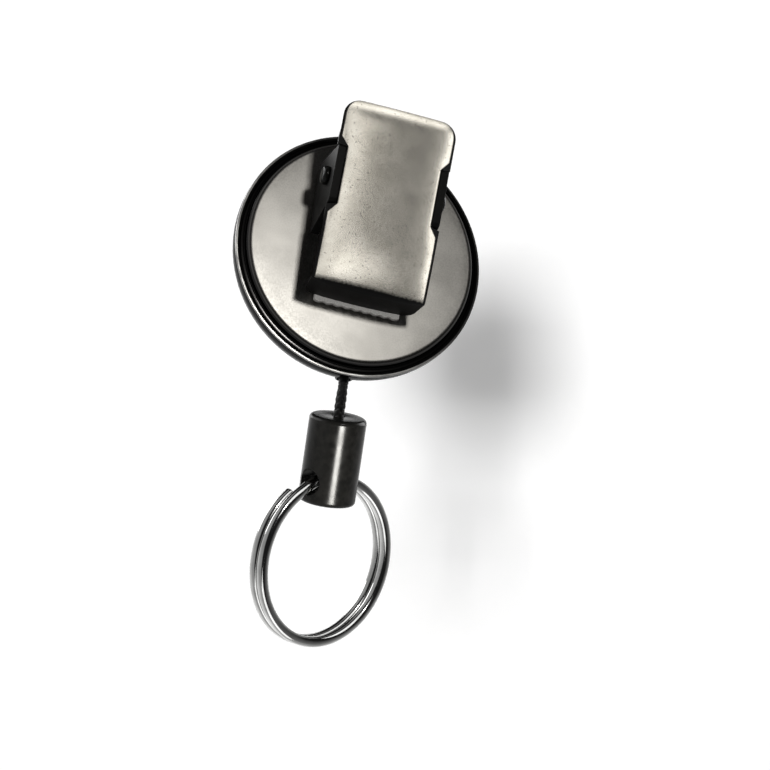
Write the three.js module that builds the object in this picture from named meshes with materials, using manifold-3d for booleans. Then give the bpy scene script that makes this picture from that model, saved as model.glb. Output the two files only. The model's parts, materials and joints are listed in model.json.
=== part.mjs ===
// Retractable key reel with a spring belt clip on its back and a split ring on its cord.
// Millimetres. +Z is up, +Y is the front of the case and -Y the clip side.
// The origin is on the clip's jaw face, where the swivel axis of the case passes through it.
import * as THREE from 'three';
import { mergeVertices } from 'three/addons/utils/BufferGeometryUtils.js';
import Module from 'manifold-3d';

const wasm = await Module();
wasm.setup();

const { Vector2, Vector3 } = THREE;
const { degToRad } = THREE.MathUtils;

// Clearances
const RUN_GAP = 0.25; // a shaft in its hole
const FACE_GAP = 0.1; // faces that bear on each other
const CORD_GAP = 0.3; // the cord and what guides or holds it

// Case
const CASE_RADIUS = 20;
const CASE_WALL = 0.8;
const PAN_RISE = 2; // raised back, from the rim to its flat face
const PAN_INSET = 1.5; // from the case's side to the side of the raised back
const PAN_EDGE_ROUND = 1.2;
const FRONT_EDGE_ROUND = 6.2;
const SKIRT_DEPTH = 1.6;
const RIM_LIP = 0.2; // the front cover's edge above the back cover's flange

// Belt clip
const CLIP_TURN = degToRad(3.3); // the clip as it stands on its swivel
const CLIP_SHEET = 0.8;
const LEVER_WIDTH = 18.3;
const LEVER_TILT = degToRad(10);
const LEVER_STANDOFF = 3.15; // from the hinge axis to the lever's inner face
const THUMB_ARM = 12.4;
const JAW_ARM = 17.6;
const THUMB_CORNER = 2.6;
const NOTCH_LENGTH = 9.4;
const NOTCH_DEPTH = 2;
const NOTCH_SLOPE = 0.7;
const NOTCH_EASE = 2; // the long slope of the notch on the thumb side
const LIP_BEND = 2.2;
const LIP_TIP_WIDTH = 13.6;
const HINGE_Z = 7.8;
const HINGE_HEIGHT = 5.6; // above the jaw face
const LEVER_EAR_LENGTH = 7.2;
const LEVER_EAR_ROUND = 2.4;
const BASE_EAR_LENGTH = 8.8;
const BASE_EAR_TOP = 7.4; // length of its top edge, which shows in the lever's notch
const BASE_EAR_CORNER = 1.2;
const BASE_EAR_INSET = 0.4; // its top edge below the lever's outer face
const BASE_TOP_MARGIN = 0.5;
const TONGUE_WIDTH = 13.8;
const TONGUE_OVERHANG = 1; // beyond the lip of the lever
const TOOTH_COUNT = 9;
const TOOTH_DEPTH = 0.35;
const PIN_RADIUS = 1;
const PIN_HEAD_RADIUS = 1.5;
const PIN_HEAD_LENGTH = 0.9;
const PIN_HEAD_EDGE = 0.6;

// Torsion spring of the clip
const WIRE = 0.9;
const CURLS = 7;
const CURL_GAP = 0.55;
const SPRING_LEG_REACH = 6.2;
const BASE_LEG_REACH = 4.2;

// Swivel between the clip and the case
const RIVET_RADIUS = 1.4;
const RIVET_HEAD_RADIUS = 2.6;
const RIVET_HEAD_HEIGHT = 0.9;
const RIVET_HEAD_EDGE = 0.7;
const RIVET_GRIP = 1.5; // its length inside the arbor
const SWIVEL_WASHER = 0.5;
const SWIVEL_WASHER_RADIUS = 5;

// Spool and mainspring
const ARBOR_RADIUS = 2.4;
const ARBOR_FLANGE = 0.7;
const ARBOR_FLANGE_RADIUS = 4.5;
const ARBOR_SLOT = 0.75;
const SPOOL_FLANGE = 0.8;
const SPRING_CHAMBER_RADIUS = 7.7;
const DRUM_WALL = 1.5;
const FLANGE_LIP = 0.95; // flange beyond the wound cord
const SPOOL_GAP = 0.5; // between the spool's rim and the case
const SPOOL_CAP = 0.6;
const CAP_LEDGE = 0.7;
const STRIP = 0.25; // thickness of the mainspring
const STRIP_GAP = 0.45;
const HOOK_SLOT = 1.4;
const HOOK_DEPTH = 0.8;
const HOOK_LEAD = degToRad(22); // from the end of the winding to the hook
const THRUST_WASHER = 0.9;
const THRUST_WASHER_RADIUS = 7;

// Cord
const CORD_DIAMETER = 1.6;
const CORD_TURN_GAP = 0.46;
const OUTER_TURNS = 1.67;
const CROSSING_START = 0.69; // in turns from where the cord leaves the spool
const CROSSING_SPAN = 0.23;
const LEAD_BEND = 2.5;
const LEAD_STRAIGHT = 0.45; // share of the lead before it drifts to the outlet

// Outlet
const BUSHING_WALL = 0.75;
const BUSHING_PROUD = 0.45; // outside the case's side
const BUSHING_TUCK = 0.4; // inside the case's wall
const BUSHING_EDGE = 0.3;

// What hangs on the cord
const CORD_SHOWN = 5.15;
const HANG_FORWARD = degToRad(30);
const HANG_ASIDE = degToRad(-4.4);
const BARREL_SPIN = degToRad(29.5);
const BARREL_RADIUS = 4.5;
const BARREL_LENGTH = 13.8;
const BARREL_EDGE = 0.7;
const BARREL_ROOF = 3;
const RING_TILT = degToRad(-3.9); // the ring out of line with the barrel
const RING_HOLE_RISE = 3.4; // above the barrel's lower end
const FERRULE_RADIUS = 2;
const FERRULE_LENGTH = 4;
const FERRULE_SOCKET = 2.5;
const RING_OUTER_RADIUS = 13.7;
const STRAND_RADIAL = 1.5;
const STRAND_AXIAL = 1.15;
const STRAND_GAP = 0.5;
const RING_END = degToRad(37); // where the outer strand begins, from the top
const RING_CROSSING = degToRad(45);
const RING_SWEEP = degToRad(680);

// Facets
const CASE_SEGMENTS = 64;
const BARREL_SEGMENTS = 32;
const SMALL_SEGMENTS = 28;
const ARC_STEPS = 4;
const CORD_STEPS = 4;
const CORD_SIDES = 8;
const LOOP_STEPS = 24;
const LOOP_SIDES = 6;
const CURL_STEPS = 8;
const CURL_SIDES = 5;
const RING_STEPS = 40;
const MERGE = 1e-4;
const DETOUR = 2.5; // two points of a bar are neighbours unless the way along it is this much longer

// Places along the swivel axis, from the jaw face to the front
const cordRadius = CORD_DIAMETER / 2;
const cordBore = cordRadius + RUN_GAP;
const cordPitch = CORD_DIAMETER + CORD_TURN_GAP;
const grooveWidth = CORD_DIAMETER + cordPitch + 2 * CORD_GAP;
const washerY = CLIP_SHEET + FACE_GAP;
const panY = washerY + SWIVEL_WASHER + FACE_GAP;
const panInnerY = panY + CASE_WALL;
const rimY = panY + PAN_RISE;
const arborY = panInnerY + FACE_GAP;
const spoolY = arborY + ARBOR_FLANGE + 2 * FACE_GAP;
const grooveY = spoolY + SPOOL_FLANGE;
const grooveEndY = grooveY + grooveWidth;
const spoolEndY = grooveEndY + SPOOL_FLANGE;
const cordY = (grooveY + grooveEndY) / 2;
const thrustY = spoolEndY + FACE_GAP;
const frontInnerY = thrustY + THRUST_WASHER + FACE_GAP;
const frontY = frontInnerY + CASE_WALL;

// Radii of the spool and its cord
const pivotBore = RIVET_RADIUS + RUN_GAP;
const spoolBore = ARBOR_RADIUS + RUN_GAP;
const drumRadius = SPRING_CHAMBER_RADIUS + DRUM_WALL;
const roundInner = FRONT_EDGE_ROUND - CASE_WALL - SPOOL_GAP;
const spoolInRound = spoolEndY - frontY + FRONT_EDGE_ROUND;
const spoolRadius = Math.min(
  CASE_RADIUS - PAN_INSET - CASE_WALL - SPOOL_GAP,
  CASE_RADIUS - FRONT_EDGE_ROUND + Math.sqrt(roundInner ** 2 - spoolInRound ** 2),
);
const windingRadius = spoolRadius - FLANGE_LIP - cordRadius;
const innerLayersRadius = windingRadius - cordRadius - CORD_GAP;
const capSeatRadius = SPRING_CHAMBER_RADIUS + CAP_LEDGE;
const capSeatY = spoolEndY - SPOOL_CAP - FACE_GAP;

// The lever's plane: outward face, up direction and inward normal, as (y, z)
const hinge = new Vector2(-HINGE_HEIGHT, HINGE_Z);
const leverUp = new Vector2(-Math.sin(LEVER_TILT), Math.cos(LEVER_TILT));
const leverIn = new Vector2(Math.cos(LEVER_TILT), Math.sin(LEVER_TILT));
const leverFoot = hinge.clone().addScaledVector(leverIn, -(LEVER_STANDOFF + CLIP_SHEET));
const jawCorner = leverFoot.clone().addScaledVector(leverUp, -JAW_ARM);
const leverEarOuter = LEVER_WIDTH / 2 - NOTCH_DEPTH;
const baseEarInner = leverEarOuter + RUN_GAP;
const baseEarOuter = baseEarInner + CLIP_SHEET;

// Where the cord leaves the case
const outletZ = -CASE_RADIUS;
const mouthZ = outletZ - BUSHING_PROUD;
const bushingRadius = cordBore + BUSHING_WALL;

const FINISHES = {
  satinSteel: { color: 0x9d9890, roughness: 0.42, metalness: 1 },
  darkSteel: { color: 0x3c3a38, roughness: 0.35, metalness: 1 },
  blackGloss: { color: 0x0c0c0d, roughness: 0.18, metalness: 0.6 },
  chrome: { color: 0xc9c8c6, roughness: 0.08, metalness: 1 },
  springSteel: { color: 0x77757a, roughness: 0.3, metalness: 1 },
  brass: { color: 0xb08d4a, roughness: 0.3, metalness: 1 },
  whiteNylon: { color: 0xd8d6cf, roughness: 0.55, metalness: 0 },
  greyNylon: { color: 0x55565a, roughness: 0.55, metalness: 0 },
  blackCord: { color: 0x121213, roughness: 0.85, metalness: 0 },
};

function piece(name, geometry, finish) {
  const mesh = new THREE.Mesh(geometry, new THREE.MeshStandardMaterial(FINISHES[finish]));
  mesh.name = name;
  return mesh;
}

// Turns every triangle outward where the closed surface encloses a negative volume.
function facingOut(geometry) {
  const index = geometry.index.array;
  const corners = [new Vector3(), new Vector3(), new Vector3()];
  let volume = 0;
  for (let i = 0; i < index.length; i += 3) {
    corners.forEach((corner, k) => corner.fromBufferAttribute(geometry.attributes.position, index[i + k]));
    volume += corners[0].dot(corners[1].cross(corners[2]));
  }
  if (volume < 0) {
    for (let i = 0; i < index.length; i += 3) {
      [index[i + 1], index[i + 2]] = [index[i + 2], index[i + 1]];
    }
  }
  return geometry;
}

// A solid of revolution about Y from (radius, y) pairs.
function lathe(profile, segments = SMALL_SEGMENTS) {
  const points = profile.map(([radius, y]) => new Vector2(radius, y));
  return facingOut(new THREE.LatheGeometry(points, segments));
}

// A ring or disc of rectangular section about Y.
function washer(inner, outer, fromY, toY, segments = SMALL_SEGMENTS) {
  return lathe([[inner, fromY], [outer, fromY], [outer, toY], [inner, toY], [inner, fromY]], segments);
}

// Points of a quarter turn, or any arc, in the plane of a profile.
function arc(centreX, centreY, radius, from, to, steps = ARC_STEPS) {
  return Array.from({ length: steps + 1 }, (_, i) => {
    const angle = from + ((to - from) * i) / steps;
    return [centreX + radius * Math.cos(angle), centreY + radius * Math.sin(angle)];
  });
}

// A closed outline from corners [x, y, radius], with every radius drawn as an arc.
function outline(corners) {
  const points = corners.flatMap(([x, y, radius], i) => {
    if (!radius) return [new Vector2(x, y)];
    const corner = new Vector2(x, y);
    const before = corners[(i + corners.length - 1) % corners.length];
    const after = corners[(i + 1) % corners.length];
    const back = new Vector2(before[0], before[1]).sub(corner).normalize();
    const ahead = new Vector2(after[0], after[1]).sub(corner).normalize();
    const half = Math.acos(back.dot(ahead)) / 2;
    const bisector = back.clone().add(ahead).normalize();
    const centre = corner.clone().addScaledVector(bisector, radius / Math.sin(half));
    const from = corner.clone().addScaledVector(back, radius / Math.tan(half)).sub(centre);
    const turn = Math.sign(back.cross(ahead)) * (2 * half - Math.PI);
    return Array.from({ length: ARC_STEPS + 1 }, (_, k) =>
      from.clone().rotateAround(new Vector2(), (turn * k) / ARC_STEPS).add(centre));
  });
  return new THREE.Shape(points);
}

// Extrusions of an outline: along X it is drawn in (y, z), along Y in (x, z), along Z in (x, y).
const EXTRUDE_BASES = {
  x: [new Vector3(0, 1, 0), new Vector3(0, 0, 1), new Vector3(1, 0, 0)],
  y: [new Vector3(1, 0, 0), new Vector3(0, 0, 1), new Vector3(0, -1, 0)],
  z: [new Vector3(1, 0, 0), new Vector3(0, 1, 0), new Vector3(0, 0, 1)],
};

function extrude(shape, axis, from, to) {
  const geometry = new THREE.ExtrudeGeometry(shape, { depth: to - from, bevelEnabled: false });
  geometry.applyMatrix4(new THREE.Matrix4().makeBasis(...EXTRUDE_BASES[axis]));
  const shift = { x: [from, 0, 0], y: [0, to, 0], z: [0, 0, from] };
  return geometry.translate(...shift[axis]);
}

// A round bar along X, Y or Z through a point, used to cut holes.
function bar(axis, radius, centre, length) {
  const geometry = new THREE.CylinderGeometry(radius, radius, length, SMALL_SEGMENTS);
  if (axis === 'x') geometry.rotateZ(Math.PI / 2);
  if (axis === 'z') geometry.rotateX(Math.PI / 2);
  return geometry.translate(...centre);
}

function solidOf(geometry) {
  const bare = geometry.clone();
  bare.deleteAttribute('normal');
  bare.deleteAttribute('uv');
  const merged = mergeVertices(bare, MERGE);
  const index = merged.index.array;
  const triangles = [];
  for (let i = 0; i < index.length; i += 3) {
    const [a, b, c] = index.slice(i, i + 3);
    if (a !== b && b !== c && c !== a) triangles.push(a, b, c);
  }
  return new wasm.Manifold(new wasm.Mesh({
    numProp: 3,
    vertProperties: Float32Array.from(merged.attributes.position.array),
    triVerts: Uint32Array.from(triangles),
  }));
}

function geometryOf(solid) {
  const mesh = solid.getMesh();
  const geometry = new THREE.BufferGeometry();
  geometry.setAttribute('position', new THREE.BufferAttribute(mesh.vertProperties, 3));
  geometry.setIndex(new THREE.BufferAttribute(mesh.triVerts, 1));
  geometry.computeVertexNormals();
  return geometry;
}

// One body from a first shape, shapes joined to it and shapes cut out of it.
function carve(first, joined, cuts) {
  let solid = solidOf(first);
  for (const shape of joined) solid = solid.add(solidOf(shape));
  for (const shape of cuts) solid = solid.subtract(solidOf(shape));
  return geometryOf(solid);
}

// A closed bar of one section along a path; section x points away from `across`, section y along it.
function sweep(path, section, across) {
  const positions = [];
  path.forEach((point, i) => {
    const before = path[Math.max(i - 1, 0)];
    const after = path[Math.min(i + 1, path.length - 1)];
    const along = after.clone().sub(before).normalize();
    const out = new Vector3().crossVectors(along, across).normalize();
    const side = new Vector3().crossVectors(out, along);
    for (const corner of section) {
      const vertex = point.clone().addScaledVector(out, corner.x).addScaledVector(side, corner.y);
      positions.push(vertex.x, vertex.y, vertex.z);
    }
  });
  const sides = section.length;
  const last = (path.length - 1) * sides;
  const index = [];
  for (let i = 0; i < last; i += sides) {
    for (let j = 0; j < sides; j += 1) {
      const k = (j + 1) % sides;
      index.push(i + j, i + k, i + sides + k, i + j, i + sides + k, i + sides + j);
    }
  }
  for (let j = 1; j < sides - 1; j += 1) {
    index.push(0, j + 1, j, last, last + j, last + j + 1);
  }
  const geometry = new THREE.BufferGeometry();
  geometry.setAttribute('position', new THREE.Float32BufferAttribute(positions, 3));
  geometry.setIndex(index);
  geometry.computeVertexNormals();
  return facingOut(geometry);
}

function roundSection(radius, sides) {
  return Array.from({ length: sides }, (_, i) => {
    const angle = (2 * Math.PI * i) / sides;
    return new Vector2(radius * Math.cos(angle), radius * Math.sin(angle));
  });
}

function flatSection(width, height, chamfer) {
  const [x, y] = [width / 2, height / 2];
  const corners = [
    [x, -y + chamfer], [x, y - chamfer], [x - chamfer, y], [-x + chamfer, y],
    [-x, y - chamfer], [-x, -y + chamfer], [-x + chamfer, -y], [x - chamfer, -y],
  ];
  return corners.map(([a, b]) => new Vector2(a, b));
}

// The least gap that a wound bar leaves to itself, measured between the points of its path.
function reportGap(name, path, thickness) {
  const travelled = [0];
  for (let i = 1; i < path.length; i += 1) travelled.push(travelled[i - 1] + path[i].distanceTo(path[i - 1]));
  let least = Infinity;
  for (let i = 0; i < path.length; i += 1) {
    for (let j = i + 1; j < path.length; j += 1) {
      const apart = path[i].distanceTo(path[j]);
      const detour = travelled[j] - travelled[i] > DETOUR * apart + thickness;
      if (detour) least = Math.min(least, apart - thickness);
    }
  }
  console.log(`${name}: least gap to itself ${least.toFixed(2)} mm`);
}

function smooth(t) {
  const s = THREE.MathUtils.clamp(t, 0, 1);
  return s * s * (3 - 2 * s);
}

// Case: a drawn cup in front and a raised pan pressed into its rim.
function frontCover() {
  const edge = FRONT_EDGE_ROUND;
  const inside = CASE_RADIUS - CASE_WALL;
  const roundX = CASE_RADIUS - edge;
  const roundY = frontY - edge;
  const rollX = CASE_RADIUS - CASE_WALL / 2;
  const rollY = rimY - RIM_LIP + CASE_WALL / 2;
  const cup = lathe([
    [0, frontY],
    ...arc(roundX, roundY, edge, Math.PI / 2, 0),
    ...arc(rollX, rollY, CASE_WALL / 2, 0, -Math.PI),
    ...arc(roundX, roundY, inside - roundX, 0, Math.PI / 2),
    [0, frontInnerY],
  ], CASE_SEGMENTS);
  const outlet = bar('z', bushingRadius + FACE_GAP, [0, cordY, outletZ], FRONT_EDGE_ROUND);
  return carve(cup, [], [outlet]);
}

function backCover() {
  const side = CASE_RADIUS - PAN_INSET;
  const skirt = CASE_RADIUS - CASE_WALL - FACE_GAP;
  const roundX = side - PAN_EDGE_ROUND;
  const roundY = panY + PAN_EDGE_ROUND;
  const flangeEnd = rimY + CASE_WALL;
  const pan = lathe([
    [pivotBore, panY],
    ...arc(roundX, roundY, PAN_EDGE_ROUND, -Math.PI / 2, 0),
    [side, rimY],
    [skirt, rimY],
    [skirt, rimY + SKIRT_DEPTH],
    [skirt - CASE_WALL, rimY + SKIRT_DEPTH],
    [skirt - CASE_WALL, flangeEnd],
    [side - CASE_WALL, flangeEnd],
    ...arc(roundX, roundY, PAN_EDGE_ROUND - CASE_WALL, 0, -Math.PI / 2),
    [pivotBore, panInnerY],
    [pivotBore, panY],
  ], CASE_SEGMENTS);
  const room = bar('z', bushingRadius + RUN_GAP, [0, cordY, outletZ], 4 * PAN_INSET);
  return carve(pan, [], [room]);
}

// A short nozzle in the case's wall, with a rounded mouth for the cord.
function outletBushing() {
  const inside = outletZ + CASE_WALL + FACE_GAP + BUSHING_TUCK;
  const edgeY = -mouthZ - BUSHING_EDGE;
  const profile = [
    [cordBore, -inside],
    ...arc(cordBore + BUSHING_EDGE, edgeY, BUSHING_EDGE, Math.PI, Math.PI / 2),
    ...arc(bushingRadius - BUSHING_EDGE, edgeY, BUSHING_EDGE, Math.PI / 2, 0),
    [bushingRadius, -inside], [cordBore, -inside],
  ];
  return lathe(profile).rotateX(-Math.PI / 2).translate(0, cordY, 0);
}

// Swivel: a rivet through the clip and the pan, held in the foot of the arbor.
function swivelRivet() {
  const crown = -FACE_GAP - RIVET_HEAD_HEIGHT;
  const edge = RIVET_HEAD_EDGE;
  return lathe([
    [0, crown],
    ...arc(RIVET_HEAD_RADIUS - edge, crown + edge, edge, -Math.PI / 2, 0),
    [RIVET_HEAD_RADIUS, -FACE_GAP], [RIVET_RADIUS, -FACE_GAP],
    [RIVET_RADIUS, arborY + RIVET_GRIP], [0, arborY + RIVET_GRIP],
  ]);
}

function swivelWasher() {
  return washer(pivotBore, SWIVEL_WASHER_RADIUS, washerY, washerY + SWIVEL_WASHER);
}

function arbor() {
  const blind = arborY + RIVET_GRIP + FACE_GAP;
  const post = lathe([
    [pivotBore, arborY], [ARBOR_FLANGE_RADIUS, arborY], [ARBOR_FLANGE_RADIUS, arborY + ARBOR_FLANGE],
    [ARBOR_RADIUS, arborY + ARBOR_FLANGE], [ARBOR_RADIUS, spoolEndY - FACE_GAP], [0, spoolEndY - FACE_GAP],
    [0, blind], [pivotBore, blind], [pivotBore, arborY],
  ]);
  const slotFloor = Math.max(blind, grooveY) + FACE_GAP;
  const slot = outline([
    [-2 * ARBOR_RADIUS, -ARBOR_SLOT / 2], [2 * ARBOR_RADIUS, -ARBOR_SLOT / 2],
    [2 * ARBOR_RADIUS, ARBOR_SLOT / 2], [-2 * ARBOR_RADIUS, ARBOR_SLOT / 2],
  ]);
  return carve(post, [], [extrude(slot, 'y', slotFloor, spoolEndY + CASE_WALL)]);
}

function spool() {
  const drum = lathe([
    [spoolBore, spoolY], [spoolRadius, spoolY], [spoolRadius, grooveY], [drumRadius, grooveY],
    [drumRadius, grooveEndY], [spoolRadius, grooveEndY], [spoolRadius, spoolEndY],
    [capSeatRadius, spoolEndY], [capSeatRadius, capSeatY], [SPRING_CHAMBER_RADIUS, capSeatY],
    [SPRING_CHAMBER_RADIUS, grooveY], [spoolBore, grooveY], [spoolBore, spoolY],
  ], CASE_SEGMENTS);
  const far = SPRING_CHAMBER_RADIUS + HOOK_DEPTH;
  const slot = outline([
    [-far, -HOOK_SLOT / 2], [0, -HOOK_SLOT / 2], [0, HOOK_SLOT / 2], [-far, HOOK_SLOT / 2],
  ]);
  return carve(drum, [], [extrude(slot, 'y', grooveY + FACE_GAP, spoolEndY + CASE_WALL)]);
}

function spoolCap() {
  return washer(spoolBore, capSeatRadius - FACE_GAP, capSeatY + FACE_GAP, spoolEndY, CASE_SEGMENTS / 2);
}

// A flat strip wound from the arbor's slot to a hook in the drum.
function mainspring() {
  const fromY = grooveY + CORD_GAP;
  const toY = capSeatY - CORD_GAP;
  const middleY = (fromY + toY) / 2;
  const pitch = STRIP + STRIP_GAP;
  const bend = pitch;
  const inner = ARBOR_RADIUS + STRIP_GAP + STRIP / 2;
  const outer = SPRING_CHAMBER_RADIUS - STRIP_GAP - STRIP / 2;
  const at = (x, z) => new Vector3(x, middleY, z);
  const start = Math.asin(bend / inner);
  const turns = Math.floor((outer - inner) / pitch) + (Math.PI - start - HOOK_LEAD) / (2 * Math.PI);
  const steps = Math.ceil(turns * LOOP_STEPS);
  const path = [at(-ARBOR_RADIUS / 2, 0), at(ARBOR_RADIUS / 2, 0)];
  const tongueBend = arc(inner * Math.cos(start) - bend, bend, bend, -Math.PI / 2, 0).slice(0, -1);
  path.push(...tongueBend.map(([x, z]) => at(x, z)));
  for (let i = 0; i <= steps; i += 1) {
    const angle = start + (2 * Math.PI * turns * i) / steps;
    const radius = inner + ((outer - inner) * i) / steps;
    path.push(at(radius * Math.cos(angle), radius * Math.sin(angle)));
  }
  const hookX = SPRING_CHAMBER_RADIUS + HOOK_DEPTH - STRIP_GAP;
  path.push(at(-hookX + bend / 2, STRIP), at(-hookX, -STRIP / 2));
  reportGap('mainspring', path, STRIP);
  return sweep(path, flatSection(STRIP, toY - fromY, STRIP / 4), new Vector3(0, 1, 0));
}

function thrustWasher() {
  return washer(spoolBore, THRUST_WASHER_RADIUS, thrustY, thrustY + THRUST_WASHER, CASE_SEGMENTS / 2);
}

// Cord on the spool: plain inner layers, and the outer layer wound over them to where it leaves.
function cordInnerLayers() {
  const crown = CORD_GAP;
  const inside = drumRadius + CORD_GAP;
  const from = grooveY + CORD_GAP;
  const to = grooveEndY - CORD_GAP;
  return lathe([
    [inside, from], [innerLayersRadius - crown, from], [innerLayersRadius, from + cordRadius],
    [innerLayersRadius, to - cordRadius], [innerLayersRadius - crown, to], [inside, to], [inside, from],
  ], CASE_SEGMENTS / 2);
}

// The lead runs from the tangent point of the winding to a bend above the outlet.
const leadTrackY = cordY + cordPitch / 2;
const cornerZ = outletZ + CASE_WALL + BUSHING_TUCK + 2 * FACE_GAP + LEAD_BEND / 2;
const leaveAngle = -Math.PI / 2 + Math.acos(windingRadius / -cornerZ);
const onWinding = (angle, y) =>
  new Vector3(windingRadius * Math.cos(angle), y, windingRadius * Math.sin(angle));
const leavePoint = onWinding(leaveAngle, leadTrackY);
const leaveWay = new Vector3(Math.sin(leaveAngle), 0, -Math.cos(leaveAngle));

function cordOuterLayer() {
  const steps = Math.ceil(OUTER_TURNS * LOOP_STEPS);
  const path = [leavePoint.clone().addScaledVector(leaveWay, CORD_DIAMETER)];
  for (let i = 0; i <= steps; i += 1) {
    const turn = (OUTER_TURNS * i) / steps;
    const angle = leaveAngle + 2 * Math.PI * turn;
    const y = leadTrackY - cordPitch * smooth((turn - CROSSING_START) / CROSSING_SPAN);
    path.push(onWinding(angle, y));
  }
  const [last, previous] = [path.at(-1), path.at(-2)];
  path.push(last.clone().addScaledVector(last.clone().sub(previous).normalize(), CORD_DIAMETER));
  reportGap('cord_outer_layer', path, CORD_DIAMETER);
  return sweep(path, roundSection(cordRadius, LOOP_SIDES), new Vector3(0, 1, 0));
}

function cordLead() {
  const length = Math.hypot(leavePoint.x, leavePoint.z - cornerZ);
  const onLine = (distance, y) => leavePoint.clone().addScaledVector(leaveWay, distance).setY(y);
  const turn = Math.acos(-leaveWay.z);
  const tangent = LEAD_BEND * Math.tan(turn / 2);
  const start = CORD_DIAMETER + CORD_GAP;
  const path = Array.from({ length: CORD_STEPS + 1 }, (_, i) => {
    const share = i / CORD_STEPS;
    const drift = smooth((share - LEAD_STRAIGHT) / (1 - LEAD_STRAIGHT));
    return onLine(start + (length - tangent - start) * share, leadTrackY + (cordY - leadTrackY) * drift);
  });
  const bend = arc(LEAD_BEND, cornerZ - tangent, LEAD_BEND, Math.PI - turn, Math.PI);
  path.push(...bend.slice(1).map(([x, z]) => new Vector3(x, cordY, z)));
  path.push(new Vector3(0, cordY, mouthZ + CORD_GAP));
  return sweep(path, roundSection(cordRadius, CORD_SIDES), new Vector3(0, 1, 0));
}

// Belt clip: a toothed base with ears, and a lever bent to a lip at its jaw end.
function earPair(shape, inner, outer) {
  return [extrude(shape, 'x', inner, outer), extrude(shape, 'x', -outer, -inner)];
}

const pinHole = bar('x', PIN_RADIUS + RUN_GAP, [0, hinge.x, hinge.y], 2 * LEVER_WIDTH);

function clipBase() {
  const tongue = TONGUE_WIDTH / 2;
  const endZ = jawCorner.y - TONGUE_OVERHANG;
  const shoulderZ = HINGE_Z - BASE_EAR_LENGTH / 2 - BASE_TOP_MARGIN;
  const topZ = HINGE_Z + BASE_EAR_LENGTH / 2 + BASE_TOP_MARGIN;
  const pitch = TONGUE_WIDTH / TOOTH_COUNT;
  const teeth = Array.from({ length: TOOTH_COUNT }, (_, i) => [
    [-tongue + pitch * i, endZ + TOOTH_DEPTH],
    [-tongue + pitch * (i + 0.5), endZ],
  ]).flat();
  const plate = outline([
    ...teeth, [tongue, endZ + TOOTH_DEPTH],
    [tongue, shoulderZ - CLIP_SHEET], [baseEarOuter, shoulderZ], [baseEarOuter, topZ, 2 * CLIP_SHEET],
    [-baseEarOuter, topZ, 2 * CLIP_SHEET], [-baseEarOuter, shoulderZ], [-tongue, shoulderZ - CLIP_SHEET],
  ]);
  const root = new Vector2(CLIP_SHEET / 2, HINGE_Z);
  const top = leverFoot.clone().addScaledVector(leverIn, BASE_EAR_INSET);
  const ear = outline([
    [root.x, root.y - BASE_EAR_LENGTH / 2],
    [root.x, root.y + BASE_EAR_LENGTH / 2],
    [...top.clone().addScaledVector(leverUp, BASE_EAR_TOP / 2), BASE_EAR_CORNER],
    [...top.clone().addScaledVector(leverUp, -BASE_EAR_TOP / 2), BASE_EAR_CORNER],
  ]);
  const rivetHole = bar('y', pivotBore, [0, CLIP_SHEET / 2, 0], 4 * CLIP_SHEET);
  const ears = earPair(ear, baseEarInner, baseEarOuter);
  return carve(extrude(plate, 'y', 0, CLIP_SHEET), ears, [pinHole, rivetHole]);
}

function leverPlate() {
  const halfTurn = (Math.PI / 2 - LEVER_TILT) / 2;
  const thumb = leverFoot.clone().addScaledVector(leverUp, THUMB_ARM);
  const bendStart = jawCorner.clone().addScaledVector(leverUp, LIP_BEND * Math.tan(halfTurn));
  const centre = bendStart.clone().addScaledVector(leverIn, LIP_BEND);
  const face = (radius) => arc(centre.x, centre.y, radius, Math.PI + LEVER_TILT, 1.5 * Math.PI);
  const tipY = -FACE_GAP;
  const inner = LIP_BEND - CLIP_SHEET;
  const thumbIn = thumb.clone().addScaledVector(leverIn, CLIP_SHEET);
  const section = new THREE.Shape([
    thumb.toArray(), ...face(LIP_BEND), [tipY, jawCorner.y], [tipY, jawCorner.y + CLIP_SHEET],
    ...face(inner).reverse(), thumbIn.toArray(),
  ].map(([y, z]) => new Vector2(y, z)));
  return extrude(section, 'x', -LEVER_WIDTH / 2, LEVER_WIDTH / 2);
}

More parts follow.
